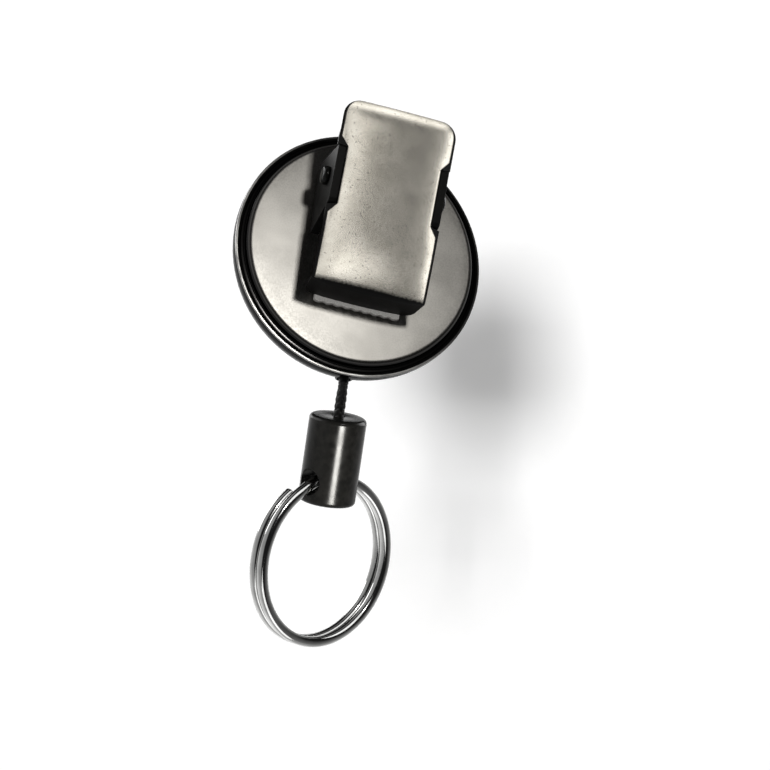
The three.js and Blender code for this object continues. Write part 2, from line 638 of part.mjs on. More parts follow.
function clipLever() {
  const half = LEVER_WIDTH / 2;
  const far = half + 4 * CLIP_SHEET;
  const topZ = leverFoot.y + THUMB_ARM * leverUp.y + CLIP_SHEET * leverIn.y;
  const notchZ = leverFoot.y + (CLIP_SHEET * leverIn.y) / 2;
  const notchHalf = (NOTCH_LENGTH * leverUp.y) / 2;
  const waist = half - NOTCH_DEPTH;
  const easeZ = notchZ + notchHalf - NOTCH_SLOPE;
  const allY = [leverFoot.x - JAW_ARM, CLIP_SHEET];
  const notch = (side) => extrude(outline([
    [side * far, notchZ - notchHalf - 2 * NOTCH_SLOPE],
    [side * waist, notchZ - notchHalf + NOTCH_SLOPE, NOTCH_SLOPE],
    [side * waist, easeZ, NOTCH_EASE / 2],
    [side * far, easeZ + (NOTCH_EASE * (far - waist)) / NOTCH_DEPTH],
  ]), 'y', ...allY);
  const thumbCorner = (side) => {
    const [cx, cz] = [side * (half - THUMB_CORNER), topZ - THUMB_CORNER];
    const rim = arc(cx, cz, THUMB_CORNER, Math.PI / 2, Math.PI / 2 - (side * Math.PI) / 2, 2 * ARC_STEPS);
    const corner = outline([...rim, [side * far, cz], [side * far, topZ + half], [cx, topZ + half]]);
    return extrude(corner, 'y', ...allY);
  };
  const lipCorner = (side) => extrude(outline([
    [side * half, jawCorner.x + LIP_BEND / 2, LIP_BEND], [(side * LIP_TIP_WIDTH) / 2, CLIP_SHEET],
    [side * far, CLIP_SHEET], [side * far, jawCorner.x + LIP_BEND / 2],
  ]), 'z', jawCorner.y - LIP_BEND, jawCorner.y + LIP_BEND);
  const root = leverFoot.clone().addScaledVector(leverIn, CLIP_SHEET / 2);
  const earEnd = hinge.clone().addScaledVector(leverIn, LEVER_EAR_ROUND);
  const ear = outline([
    root.clone().addScaledVector(leverUp, LEVER_EAR_LENGTH / 2).toArray(),
    root.clone().addScaledVector(leverUp, -LEVER_EAR_LENGTH / 2).toArray(),
    [...earEnd.clone().addScaledVector(leverUp, -LEVER_EAR_ROUND), LEVER_EAR_ROUND - FACE_GAP],
    [...earEnd.clone().addScaledVector(leverUp, LEVER_EAR_ROUND), LEVER_EAR_ROUND - FACE_GAP],
  ]);
  const sides = [-1, 1];
  const cuts = [...sides.map(notch), ...sides.map(thumbCorner), ...sides.map(lipCorner)];
  const plate = carve(leverPlate(), [], cuts);
  return carve(plate, earPair(ear, leverEarOuter - CLIP_SHEET, leverEarOuter), [pinHole]);
}

function hingePin() {
  const shank = baseEarOuter + FACE_GAP;
  const end = shank + PIN_HEAD_LENGTH;
  const edge = PIN_HEAD_EDGE;
  const dome = arc(PIN_HEAD_RADIUS - edge, end - edge, edge, Math.PI / 2, 0);
  const profile = [[0, end], ...dome, [PIN_HEAD_RADIUS, shank], [PIN_RADIUS, shank]];
  const mirrored = profile.toReversed().map(([radius, x]) => [radius, -x]);
  return lathe([...profile, ...mirrored]).rotateZ(-Math.PI / 2).translate(0, hinge.x, hinge.y);
}

// A coil on the hinge pin, with one leg on the base and one under the thumb end of the lever.
function clipSpring() {
  const radius = PIN_RADIUS + RUN_GAP + FACE_GAP + WIRE / 2;
  const seat = WIRE / 2 + CORD_GAP;
  const inPlane = (point) => new Vector2(point.y - hinge.y, hinge.x - point.x);
  const baseEnd = new Vector2(BASE_LEG_REACH, seat - HINGE_HEIGHT);
  const leverEnd = inPlane(hinge.clone()
    .addScaledVector(leverIn, seat - LEVER_STANDOFF).addScaledVector(leverUp, SPRING_LEG_REACH));
  const from = baseEnd.angle() - Math.acos(radius / baseEnd.length());
  const to = leverEnd.angle() + Math.acos(radius / leverEnd.length());
  const sweepAngle = 2 * Math.PI * CURLS - THREE.MathUtils.euclideanModulo(to - from, 2 * Math.PI);
  const steps = Math.ceil((sweepAngle / (2 * Math.PI)) * CURL_STEPS);
  const width = ((WIRE + CURL_GAP) * sweepAngle) / (2 * Math.PI);
  const at = (x, flat) => new Vector3(x, hinge.x - flat.y, hinge.y + flat.x);
  const path = [at(-width / 2, baseEnd)];
  for (let i = 0; i <= steps; i += 1) {
    const angle = from - (sweepAngle * i) / steps;
    const onCoil = new Vector2(radius * Math.cos(angle), radius * Math.sin(angle));
    path.push(at(-width / 2 + (width * i) / steps, onCoil));
  }
  path.push(at(width / 2, leverEnd));
  reportGap('clip_spring', path, WIRE);
  return sweep(path, roundSection(WIRE / 2, CURL_SIDES), new Vector3(1, 0, 0));
}

// What hangs on the cord, drawn with the outlet's mouth at the origin and the cord along -Z.
const barrelEndZ = -CORD_SHOWN - BARREL_LENGTH;
const ringHoleZ = barrelEndZ + RING_HOLE_RISE;
const ferruleTopZ = -CORD_SHOWN - BARREL_ROOF - 2 * FACE_GAP;
const ringRadius = RING_OUTER_RADIUS - STRAND_RADIAL / 2;
const ringSag = ringRadius - Math.sqrt(ringRadius ** 2 - BARREL_RADIUS ** 2);
const strandPitch = STRAND_AXIAL + STRAND_GAP;
const ringHoleRadius = Math.hypot((STRAND_RADIAL + ringSag) / 2, (strandPitch + STRAND_AXIAL) / 2) + CORD_GAP;

function upright(geometry) {
  return geometry.rotateX(Math.PI / 2);
}

function cordStretch() {
  const top = -cordRadius * Math.tan(HANG_FORWARD);
  const length = top - (ferruleTopZ - FERRULE_SOCKET + CORD_GAP);
  const drops = Array.from({ length: CORD_STEPS + 1 }, (_, i) => (length * i) / CORD_STEPS);
  const path = drops.map((drop) => new Vector3(0, 0, top - drop));
  return sweep(path, roundSection(cordRadius, CORD_SIDES), new Vector3(0, 1, 0));
}

function stopFerrule() {
  const bevel = FACE_GAP * 3;
  const bottom = ferruleTopZ - FERRULE_LENGTH;
  const floor = ferruleTopZ - FERRULE_SOCKET;
  return upright(lathe([
    [0, bottom], [FERRULE_RADIUS - bevel, bottom], [FERRULE_RADIUS, bottom + bevel],
    [FERRULE_RADIUS, ferruleTopZ - bevel], [FERRULE_RADIUS - bevel, ferruleTopZ],
    [cordBore, ferruleTopZ], [cordBore, floor], [0, floor],
  ]));
}

function endBarrel() {
  const chamber = FERRULE_RADIUS + CORD_GAP;
  const roof = -CORD_SHOWN - BARREL_ROOF;
  const round = BARREL_RADIUS - BARREL_EDGE;
  const body = upright(lathe([
    [chamber, barrelEndZ],
    ...arc(round, barrelEndZ + BARREL_EDGE, BARREL_EDGE, -Math.PI / 2, 0),
    ...arc(round, -CORD_SHOWN - BARREL_EDGE, BARREL_EDGE, 0, Math.PI / 2),
    [cordBore, -CORD_SHOWN], [cordBore, roof], [chamber, roof], [chamber, barrelEndZ],
  ], BARREL_SEGMENTS));
  return carve(body, [], [bar('x', ringHoleRadius, [0, 0, ringHoleZ], 4 * BARREL_RADIUS)]);
}

// Two turns of strand, side by side, which change places where the ring is opened. Drawn from its hole.
function splitRing() {
  const centreZ = ringSag / 2 - ringRadius;
  const turns = RING_SWEEP / (2 * Math.PI);
  const steps = Math.ceil(turns * RING_STEPS);
  const crossingStart = 2 * Math.PI - RING_CROSSING;
  const path = Array.from({ length: steps + 1 }, (_, i) => {
    const travel = (RING_SWEEP * i) / steps;
    const angle = RING_END + travel;
    const y = strandPitch * (0.5 - smooth((travel - crossingStart) / RING_CROSSING));
    return new Vector3(-ringRadius * Math.sin(angle), y, centreZ + ringRadius * Math.cos(angle));
  });
  reportGap('split_ring', path, STRAND_AXIAL);
  return sweep(path, flatSection(STRAND_RADIAL, STRAND_AXIAL, STRAND_AXIAL / 4), new Vector3(0, 1, 0));
}

// Assembly
const clip = new THREE.Group();
clip.rotation.y = CLIP_TURN;
clip.add(
  piece('clip_base', clipBase(), 'darkSteel'),
  piece('clip_lever', clipLever(), 'satinSteel'),
  piece('hinge_pin', hingePin(), 'darkSteel'),
  piece('clip_spring', clipSpring(), 'springSteel'),
);

const ring = new THREE.Group();
ring.position.z = ringHoleZ;
ring.rotation.x = RING_TILT;
ring.add(piece('split_ring', splitRing(), 'chrome'));

const barrel = new THREE.Group();
barrel.rotation.z = BARREL_SPIN;
barrel.add(piece('end_barrel', endBarrel(), 'blackGloss'), ring);

const hanging = new THREE.Group();
hanging.position.set(0, cordY, mouthZ);
hanging.rotation.set(HANG_FORWARD, HANG_ASIDE, 0, 'XYZ');
hanging.add(
  piece('cord_stretch', cordStretch(), 'blackCord'),
  piece('stop_ferrule', stopFerrule(), 'brass'),
  barrel,
);

const reel = new THREE.Group();
reel.add(
  piece('front_cover', frontCover(), 'blackGloss'),
  piece('back_cover', backCover(), 'satinSteel'),
  piece('outlet_bushing', outletBushing(), 'blackGloss'),
  piece('swivel_rivet', swivelRivet(), 'darkSteel'),
  piece('swivel_washer', swivelWasher(), 'greyNylon'),
  piece('arbor', arbor(), 'darkSteel'),
  piece('spool', spool(), 'whiteNylon'),
  piece('spool_cap', spoolCap(), 'whiteNylon'),
  piece('mainspring', mainspring(), 'springSteel'),
  piece('thrust_washer', thrustWasher(), 'greyNylon'),
  piece('cord_inner_layers', cordInnerLayers(), 'blackCord'),
  piece('cord_outer_layer', cordOuterLayer(), 'blackCord'),
  piece('cord_lead', cordLead(), 'blackCord'),
  clip,
  hanging,
);

export default reel;
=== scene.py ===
"""Looks of a retractable key reel with a belt clip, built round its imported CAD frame, in metres."""

import json
from math import acos, asin, atan2, copysign, cos, floor, hypot, pi, radians, sin, sqrt, tan

import bpy
import bmesh
from mathutils import Matrix, Vector

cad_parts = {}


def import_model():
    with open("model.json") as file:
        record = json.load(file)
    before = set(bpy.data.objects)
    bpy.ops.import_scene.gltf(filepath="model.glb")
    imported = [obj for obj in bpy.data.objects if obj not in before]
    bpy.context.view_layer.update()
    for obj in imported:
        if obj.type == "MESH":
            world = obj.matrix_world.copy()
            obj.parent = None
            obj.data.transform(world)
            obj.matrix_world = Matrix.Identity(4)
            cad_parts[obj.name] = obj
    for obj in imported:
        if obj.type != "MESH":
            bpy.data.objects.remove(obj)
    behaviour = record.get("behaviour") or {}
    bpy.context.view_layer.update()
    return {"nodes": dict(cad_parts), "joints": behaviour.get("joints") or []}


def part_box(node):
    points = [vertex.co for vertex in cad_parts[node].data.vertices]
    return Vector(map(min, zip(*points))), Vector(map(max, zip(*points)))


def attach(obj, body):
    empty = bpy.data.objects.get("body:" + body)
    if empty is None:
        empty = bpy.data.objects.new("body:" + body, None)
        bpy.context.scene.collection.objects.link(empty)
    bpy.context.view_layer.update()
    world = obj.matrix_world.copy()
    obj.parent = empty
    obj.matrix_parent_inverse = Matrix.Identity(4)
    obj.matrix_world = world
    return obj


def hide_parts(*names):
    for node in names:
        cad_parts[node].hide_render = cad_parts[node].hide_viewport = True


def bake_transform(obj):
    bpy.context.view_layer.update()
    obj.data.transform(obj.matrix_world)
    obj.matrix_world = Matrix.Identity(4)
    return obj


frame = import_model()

MM = 0.001
QUARTER = pi / 2
TURN = 2 * pi
scene = bpy.context.scene
joints = {joint["name"]: joint for joint in frame["joints"]}

# Facets
ROUND = 160
BARREL_ROUND = 96
SMALL_ROUND = 64
CORE_SIDES = 16
WIRE_SIDES = 14
YARN_SIDES = 8
ARC_STEPS = 8
EDGE_STEPS = 4
SHARP = radians(32)
LEVER_SHARP = radians(50)
RING_SHARP = radians(60)
WELD = 1e-7

# Case, in millimetres
case_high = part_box("front_cover")[1] / MM
pan_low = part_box("back_cover")[0] / MM
CASE_RADIUS = case_high.x
CASE_WALL = 0.8
FRONT_Y = case_high.y
FRONT_ROUND = 7.0
PAN_Y = pan_low.y
PAN_RISE = 2.0
PAN_INSET = 1.5
PAN_SIDE = CASE_RADIUS - PAN_INSET
PAN_ROUND = 0.9
PAN_DOME = 0.38
PAN_FOLD = 0.25
PAN_RINGS = 12
RIM_Y = PAN_Y + PAN_RISE
RIM_LIP = 0.2
RIM_SLOPE = 0.06
RIM_EDGE = 0.14
SKIRT_GAP = 0.1
SKIRT_RADIUS = CASE_RADIUS - CASE_WALL - SKIRT_GAP
SKIRT_DEPTH = 1.6
PIVOT_BORE = 1.65
NOZZLE_RADIUS = 1.4
NOZZLE_PROUD = -0.3
NOZZLE_EDGE = 0.16
NOZZLE_CUT = 6.0
CUP_HOLE = NOZZLE_RADIUS + 0.1
PAN_HOLE = NOZZLE_RADIUS + 0.25
RIVET_RADIUS = 1.4
RIVET_HEAD = 2.6
RIVET_EDGE = 0.55
RIVET_SEAT = -0.1
WASHER_RADIUS = 5.0

# Belt clip, in millimetres, in the turned frame of the clip
SHEET = 0.8
LEVER_HALF = 9.15
LEVER_TILT = radians(10)
LEVER_STANDOFF = 3.15
THUMB_ARM = 12.0
THUMB_CORNER = 2.6
JAW_ARM = 17.9
NOTCH_HALF = (4.36, 4.8)
NOTCH_DEPTH = 1.55
NOTCH_EASE = (0.15, 0.3)
LIP_BEND = 1.5
LIP_GAP = 0.1
LIP_TIP_HALF = 8.8
LIP_TAPER = 1.3
LIP_CORNER = 1.2
LIP_BOW = 0.72
LIP_BOW_LENGTH = 4.0
LEVER_BOW = 0.35
LEVER_CROWN = 0.15
LEVER_ROLL = 0.45
LEVER_ROLL_POWER = 6
LEVER_ROLL_EASE = 4.5
LEVER_ROLL_NOTCH = 0.4
LEVER_TIP = 0.55
LEVER_TIP_LENGTH = 4.0
LEVER_FALL = 0.2
LEVER_FALL_LENGTH = 10.0
LEVER_COLUMNS = 36
COLUMN_CROWDING = 0.85
THUMB_ROWS = 10
FACE_ROWS = 160
BEND_ROWS = 14
LIP_ROWS = 14
LEVER_EAR = (6.35, 7.15)
LEVER_EAR_HALF = 3.6
LEVER_EAR_ROUND = 2.4
LEVER_EAR_CORNER = LEVER_EAR_ROUND - 0.05
LEVER_EAR_SUNK = 0.75
BASE_EAR = (7.72, 9.0)
BASE_EAR_ROOT = (4.4, 7.4)
BASE_EAR_TOP = (4.42, 4.5)
BASE_EAR_CORNER = (0.35, 0.9)
BASE_EAR_INSET = 0.35
BASE_HALF = 4.9
BASE_CORNER = 2 * SHEET
SHOULDER_CORNER = 0.3
TONGUE_HALF = 6.9
TONGUE_CORNER = 0.4
TOOTH_COUNT = 9
TOOTH_DEPTH = 0.25
TOOTH_ROUND = 0.8
PIN_RADIUS = 1.0
PIN_HOLE = 1.25
PIN_PLAY = 0.1
PIN_HEAD_RADIUS = 1.5
PIN_HEAD_LENGTH = 0.9
PIN_HEAD_EDGE = 0.6
WIRE = 0.9
COIL_RADIUS = 1.8
COIL_PITCH = 1.45
COIL_TURNS = 7
COIL_STEPS = 36
SPRING_SEAT = 0.3
BASE_LEG = 4.2
LEVER_LEG = 6.2

# Mainspring and wound cord, in millimetres, about the axis of the case
STRIP = 0.25
STRIP_PITCH = 0.7
STRIP_CORNER = 0.06
STRIP_STEPS = 60
SPIRAL = (2.975, 7.125)
SLOT_HALF = 1.2
HOOK_ANGLE = radians(22)
HOOK = (7.7, 8.05)
CORD_RADIUS = 0.8
WOUND_INSIDE = 9.5
WOUND_LAYERS = 3
WOUND_CRESTS = (0.27, 0.73)
CREST_ARC = pi / 2.4
OUTER_RADIUS = 14.4
OUTER_PITCH = 2.06
OUTER_TURNS = 1.67
OUTER_STEPS = 120
OUTER_TAIL = 1.6
CROSSING_FROM = 0.69
CROSSING_SPAN = 0.23
LEAD_CORNER = 1.85
LEAD_BEND = 2.5
LEAD_FROM = 1.9
LEAD_STEPS = 12
LEAD_DRIFT_FROM = 0.45

# Cord and what hangs on it, in millimetres, in the frame of the hanging cord
CORD_SHOWN = 5.15
CORD_TUCK = 0.3
CORD_BORE = 1.05
CORE_RADIUS = 0.66
YARNS = 8
YARN_RADIUS = 0.145
YARN_FLATNESS = 2.0
YARN_LIFT = 0.68
YARN_WEAVE = 0.07
YARN_STEPS = 140
BRAID_PITCH = 4.2
BRAID_SQUEEZE = 0.15
SQUEEZE_LENGTH = 2.4
BARREL_RADIUS = 4.5
BARREL_LENGTH = 13.8
BARREL_EDGE = 0.7
BARREL_ROOF = 3.0
BARREL_CHAMBER = 2.3
FERRULE_RADIUS = 2.0
FERRULE_EDGE = 0.3
FERRULE_GAP = 0.2
FERRULE_LENGTH = 4.0
FERRULE_SOCKET = 2.5
RING_RADIUS = 12.95
STRAND_RADIAL = 1.5
STRAND_AXIAL = 1.15
STRAND_PITCH = 1.65
STRAND_FULLNESS = (0.15, 0.35)
STRAND_CORNER = 0.56
RING_TILT = radians(-3.9)
RING_END = radians(33)
RING_CROSSING = radians(45)
RING_SWEEP = radians(680)
RING_STEPS = 420
RING_SAG = RING_RADIUS - sqrt(RING_RADIUS ** 2 - BARREL_RADIUS ** 2)
RING_PLAY = 0.3
RING_HOLE = hypot((STRAND_RADIAL + RING_SAG) / 2, (STRAND_PITCH + STRAND_AXIAL) / 2) + RING_PLAY

# Where finishes, painted shade and painted highlights change, in millimetres
SHOULDER_SHADE_RADIUS = 18.0
SHOULDER_SHADE_FADE = 0.35
RIM_HIGHLIGHT_BAND = 0.16
RIM_HIGHLIGHT_INSET = (0.4, 0.26)
RIM_HIGHLIGHT_WAY = (-0.75, 0, -0.66)
RIM_HIGHLIGHT_SPAN = (-6, 4)
CUP_GLOSS_SPAN = (5, 8)
# Painted shade on the base plate: dark except on the tongue
TONGUE_UNSHADED = (2.0, 1.0)
# Painted shade on the lever: black below the lip line, on faces that don't face outwards, and along its
# sides and notches
LIP_SHADE = (2.15, 1.5)
LIP_SHADE_RAGGED = 0.5
SIDE_SHADE_FACING = (0.76, 0.92)
BORDER_SHADE = (0.5, 0.36)
BORDER_SHADE_TOP = 0.82
NOTCH_SHADE = 1.2
NOTCH_SHADE_FADE = 1.5

# Camera at the photograph's viewing angle
FRAME_WIDTH_MM = 120.4
CAMERA_DISTANCE = 0.47
CAMERA_RANGE = (0.01, 50)
SENSOR = 36.0
VIEW_RIGHT = Vector((0.948, -0.311, 0.0725)).normalized()
VIEW_UP = Vector((-0.170, -0.298, 0.939)).normalized()
VIEW_BACK = VIEW_RIGHT.cross(VIEW_UP).normalized()
AIM = Vector((7.34, 8.25, -18.69)) * MM

# Lamps: way from the target, distance and size in metres, power in watts, and the only piece that they light
WHITE = (1, 1, 1)
WARM = (1, 0.985, 0.95)
STRAW = (1, 0.98, 0.93)
KEY_WAY = (0.083, -0.983, 0.165)
BACKDROP_LAMP_WAY = VIEW_BACK - 0.08 * VIEW_RIGHT + 0.035 * VIEW_UP
LEVER, TONGUE, STREAKED, RING = "clip_lever_plate", "clip_base_plate", "end_barrel_body", "split_ring_coil"
LAMPS = {
    "key": (KEY_WAY, 0.4, (0.04, 0.04), 0.29, None),
    "lever_key": (KEY_WAY, 0.4, (0.05, 0.05), 0.02, LEVER),
    "top_card": ((0.13, -0.79, 0.59), 0.5, (0.45, 0.14), 0.55, LEVER),
    "right_card": ((0.72, -0.694, 0.05), 0.5, (0.14, 0.4), 0.48, LEVER),
    "middle_card": ((0.48, -0.877, 0.02), 0.5, (0.15, 0.35), 0.08, LEVER),
    "left_card": ((-0.17, -0.984, 0.05), 0.5, (0.19, 0.35), 0.34, LEVER),
    "low_card": ((0.13, -0.977, -0.16), 0.5, (0.08, 0.14), 0.125, LEVER),
    "tongue_lamp": ((-0.2, -0.95, -0.25), 0.3, (0.05, 0.05), 0.6, TONGUE),
    "streak": ((0.13, -0.76, -0.637), 0.4, (0.12, 0.09), 2.6, STREAKED),
    "ring_high": ((0.38, -0.83, 0.41), 0.3, (0.36, 0.22), 0.3, RING),
    "ring_low": ((0.31, -0.32, -0.9), 0.3, (0.36, 0.22), 0.3, RING),
    "front_card": ((-0.5, 0.7, 0.5), 0.5, (0.3, 0.2), 0.5, None),
    "left_fill": ((-0.85, 0.12, 0.5), 0.5, (0.35, 0.35), 0.8, None),
    "right_fill": ((0.85, 0.12, 0.5), 0.5, (0.35, 0.35), 1.2, None),
    "backdrop_lamp": (BACKDROP_LAMP_WAY, 3.0, (0.2, 0.2), 90, "backdrop"),
}
TINTS = {"key": WARM, "lever_key": WARM, "streak": STRAW}
FILL_MISSES = (RING, "back_cover_pan", "backdrop")
LAMP_MISSES = {"key": (LEVER,), "left_fill": FILL_MISSES, "right_fill": FILL_MISSES}

# Backdrop and room
BACKDROP_DISTANCE = 0.4
BACKDROP_HALF = 0.17
BACKDROP_GLOW = 0.27
DARK_WAY = (0.25, -0.95, 0.18)
DARK_SPAN = (0.12, 0.5)
BACK_SPAN = (0.2, 0.7)
SHADE_WAY = (0.0, 0.6, 0.8)
SHADE_SPAN = (0.65, 0.85)
MIRRORED_SPAN = (0.75, 0.95)


# Frames and the points that follow from them
def frame_from(origin, x_axis, z_axis):
    """A matrix from a local frame in millimetres to the row frame in metres."""
    z = Vector(z_axis).normalized()
    x = Vector(x_axis).normalized()
    y = z.cross(x).normalized()
    x = y.cross(z)
    turn = Matrix((x, y, z)).transposed().to_4x4()
    return Matrix.Translation(origin) @ turn @ Matrix.Scale(MM, 4)


hinge_axis = Vector(joints["clip_open"]["axis"])
cord_way = Vector(joints["cord_pull"]["axis"])
cord_exit = Vector(joints["cord_swing"]["pos_m"])
ROW = Matrix.Scale(MM, 4)
CLIP = frame_from((0, 0, 0), -hinge_axis, Vector((0, 1, 0)).cross(hinge_axis))
HANG = frame_from(cord_exit, (1, 0, 0), -cord_way)
BARREL = frame_from(cord_exit, -Vector(joints["ring_swing"]["axis"]), -cord_way)

OUTLET = cord_exit / MM
RING_HOLE_Z = (BARREL.inverted() @ Vector(joints["ring_swing"]["pos_m"])).z
hinge_point = CLIP.inverted() @ Vector(joints["clip_open"]["pos_m"])
HINGE = Vector((hinge_point.y, hinge_point.z))
LEVER_UP = Vector((-sin(LEVER_TILT), cos(LEVER_TILT)))
LEVER_IN = Vector((cos(LEVER_TILT), sin(LEVER_TILT)))
LEVER_FOOT = HINGE - LEVER_IN * (LEVER_STANDOFF + SHEET)
JAW_CORNER = LEVER_FOOT - LEVER_UP * JAW_ARM

# Along the lever's outer face, from its thumb end
BEND_ANGLE = QUARTER - LEVER_TILT
BEND_LENGTH = LIP_BEND * BEND_ANGLE
THUMB_END = LEVER_FOOT + LEVER_UP * THUMB_ARM
PLATE_END = THUMB_ARM + JAW_ARM - LIP_BEND * tan(BEND_ANGLE / 2)
BEND_END = PLATE_END + BEND_LENGTH
BEND_CENTRE = THUMB_END - LEVER_UP * PLATE_END + LEVER_IN * LIP_BEND
LEVER_END = BEND_END - LIP_GAP - BEND_CENTRE.x

# Where the wound cord leaves the spool for the outlet
OUTER_Y = OUTLET.y + OUTER_PITCH / 2
LEAD_CORNER_Z = -CASE_RADIUS + CASE_WALL + LEAD_CORNER
LEAVE_ANGLE = -QUARTER + acos(OUTER_RADIUS / -LEAD_CORNER_Z)
LEAVE_WAY = Vector((sin(LEAVE_ANGLE), 0, -cos(LEAVE_ANGLE)))
LEAVE_POINT = Vector((OUTER_RADIUS * cos(LEAVE_ANGLE), OUTER_Y, OUTER_RADIUS * sin(LEAVE_ANGLE)))


# Mesh helpers
def clamp(share):
    return min(max(share, 0.0), 1.0)


def smooth(share):
    share = clamp(share)
    return share * share * (3 - 2 * share)


def shares(steps):
    """Even steps from 0 to 1."""
    return [i / steps for i in range(steps + 1)]


def arc(cx, cy, radius, start, end, steps=ARC_STEPS):
    angles = [start + (end - start) * share for share in shares(steps)]
    return [(cx + radius * cos(a), cy + radius * sin(a)) for a in angles]


def rounded(corners, steps=ARC_STEPS):
    """A closed outline from corners (x, y, radius), with every radius drawn as an arc."""
    points = []
    for i, (x, y, radius) in enumerate(corners):
        corner = Vector((x, y))
        if not radius:
            points.append((x, y))
            continue
        back = (Vector(corners[i - 1][:2]) - corner).normalized()
        ahead = (Vector(corners[(i + 1) % len(corners)][:2]) - corner).normalized()
        half = acos(max(-1, min(1, back.dot(ahead)))) / 2
        centre = corner + (back + ahead).normalized() * radius / sin(half)
        first = corner + back * radius / tan(half) - centre
        turn = copysign(pi - 2 * half, -back.cross(ahead))
        for share in shares(steps):
            c, s = cos(turn * share), sin(turn * share)
            points.append((centre.x + c * first.x - s * first.y, centre.y + s * first.x + c * first.y))
    return points


def round_section(radius, sides):
    return arc(0, 0, radius, 0, TURN, sides)[:-1]


def flat_section(width, height, corner):
    x, y = width / 2, height / 2
    return rounded([(x, -y, corner), (x, y, corner), (-x, y, corner), (-x, -y, corner)], EDGE_STEPS)


def add_object(name, data):
    obj = bpy.data.objects.new(name, data)
    scene.collection.objects.link(obj)
    return obj


def mesh_from(name, vertices, faces, place):
    """A mesh object with outward faces, from vertices in millimetres in a local frame."""
    mesh = bpy.data.meshes.new(name)
    mesh.from_pydata([place @ Vector(v) for v in vertices], [], faces)
    work = bmesh.new()
    work.from_mesh(mesh)
    bmesh.ops.remove_doubles(work, verts=work.verts, dist=WELD)
    bmesh.ops.recalc_face_normals(work, faces=work.faces)
    work.to_mesh(mesh)
    work.free()
    return add_object(name, mesh)


def revolve(name, profile, place=ROW, segments=ROUND):
    """A closed solid of revolution about the local Y axis from (radius, y) pairs."""
    on_axis = profile[0][0] == 0
    loop = profile if on_axis else [*profile, profile[0]]
    vertices = [(x, y, z) for radius, y in loop for x, z in round_section(radius, segments)]
    return mesh_from(name, vertices, quads(len(loop), segments), place)


def upright(place):
    """A frame for solids that are turned about Z."""
    return place @ Matrix.Rotation(QUARTER, 4, "X")


def quads(rows, columns, closed=True):
    """The faces between rows of points, each row a ring or, if it isn't closed, a line."""
    faces = []
    for i in range(rows - 1):
        for k in range(columns if closed else columns - 1):
            n = (k + 1) % columns
            faces.append((i * columns + k, i * columns + n, (i + 1) * columns + n, (i + 1) * columns + k))
    return faces


def sweep(name, path, section, place=ROW, across=(0, 1, 0), outward=None):
    """A closed bar along a path. The section's x points away from across, or outward where that is given."""
    vertices = []
    sides = len(section)
    for i, point in enumerate(path):
        along = (path[min(i + 1, len(path) - 1)] - path[max(i - 1, 0)]).normalized()
        out = outward(point) if outward else along.cross(Vector(across))
        side = out.cross(along).normalized()
        out = along.cross(side)
        vertices += [point + out * x + side * y for x, y in section]
    faces = quads(len(path), sides)
    faces += [tuple(range(sides)), tuple(range(len(vertices) - sides, len(vertices)))]
    return mesh_from(name, vertices, faces, place)


def prism(name, outline, axis, low, high, place=ROW):
    """An outline drawn in the two other axes and carried along one axis from low to high."""
    count = len(outline)
    vertices = []
    for depth in (low, high):
        for point in outline:
            vertex = list(point)
            vertex.insert("xyz".index(axis), depth)
            vertices.append(vertex)
    faces = [tuple(range(count)), tuple(range(count, 2 * count)), *quads(2, count)]
    return mesh_from(name, vertices, faces, place)


def bar(axis, radius, centre, length, place=ROW):
    """A round bar used to cut a hole."""
    flat = list(centre)
    middle = flat.pop("xyz".index(axis))
    circle = arc(*flat, radius, 0, TURN, SMALL_ROUND)[:-1]
    return prism("cutter", circle, axis, middle - length / 2, middle + length / 2, place)


def apply_modifiers(obj):
    graph = bpy.context.evaluated_depsgraph_get()
    mesh = bpy.data.meshes.new_from_object(obj.evaluated_get(graph))
    obj.modifiers.clear()
    obj.data = mesh


def cut(obj, tool):
    """Cuts a solid out of another one, and removes it."""
    modifier = obj.modifiers.new("cut", "BOOLEAN")
    modifier.object = tool
    modifier.operation = "DIFFERENCE"
    modifier.solver = "EXACT"
    apply_modifiers(obj)
    bpy.data.objects.remove(tool)


def finish_edges(obj, width=0.0, segments=2, angle=SHARP):
    """Rounds sharp edges by a width in millimetres, or leaves them sharp, and shades the rest smooth."""
    obj.data.shade_smooth()
    if width:
        bevel = obj.modifiers.new("edges", "BEVEL")
        bevel.width = width * MM
        bevel.segments = segments
        bevel.limit_method = "ANGLE"
        bevel.angle_limit = angle
        bevel.use_clamp_overlap = True
        weight = obj.modifiers.new("normals", "WEIGHTED_NORMAL")
        weight.weight = 100
        apply_modifiers(obj)
    else:
        obj.data.set_sharp_from_angle(angle=angle)


def join(name, parts):
    """Makes one object of several closed meshes."""
    with bpy.context.temp_override(active_object=parts[0], selected_editable_objects=parts):
        bpy.ops.object.join()
    parts[0].name = name
    return parts[0]


def set_material(obj, material):
    obj.data.materials.clear()
    obj.data.materials.append(material)


def dress(obj, material, body, slot, *nodes):
    """Gives a piece its material, and its body and CAD nodes in the frame."""
    set_material(obj, material)
    if body:
        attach(obj, body)
    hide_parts(*nodes)
    return obj


# Material helpers
def feed(made, inputs):
    """Links a node's inputs to sockets, or sets them to values."""
    for key, value in inputs.items():
        if isinstance(value, bpy.types.NodeSocket):
            made.id_data.links.new(value, made.inputs[key])
        else:
            made.inputs[key].default_value = value
    return made


def node(kind, inputs, output=0, **options):
    """An output of a new node, in the tree of the sockets that feed it."""
    sockets = (value for value in inputs.values() if isinstance(value, bpy.types.NodeSocket))
    made = next(sockets).id_data.nodes.new("ShaderNode" + kind)
    for key, value in options.items():
        setattr(made, key, value)
    return feed(made, inputs).outputs[output]


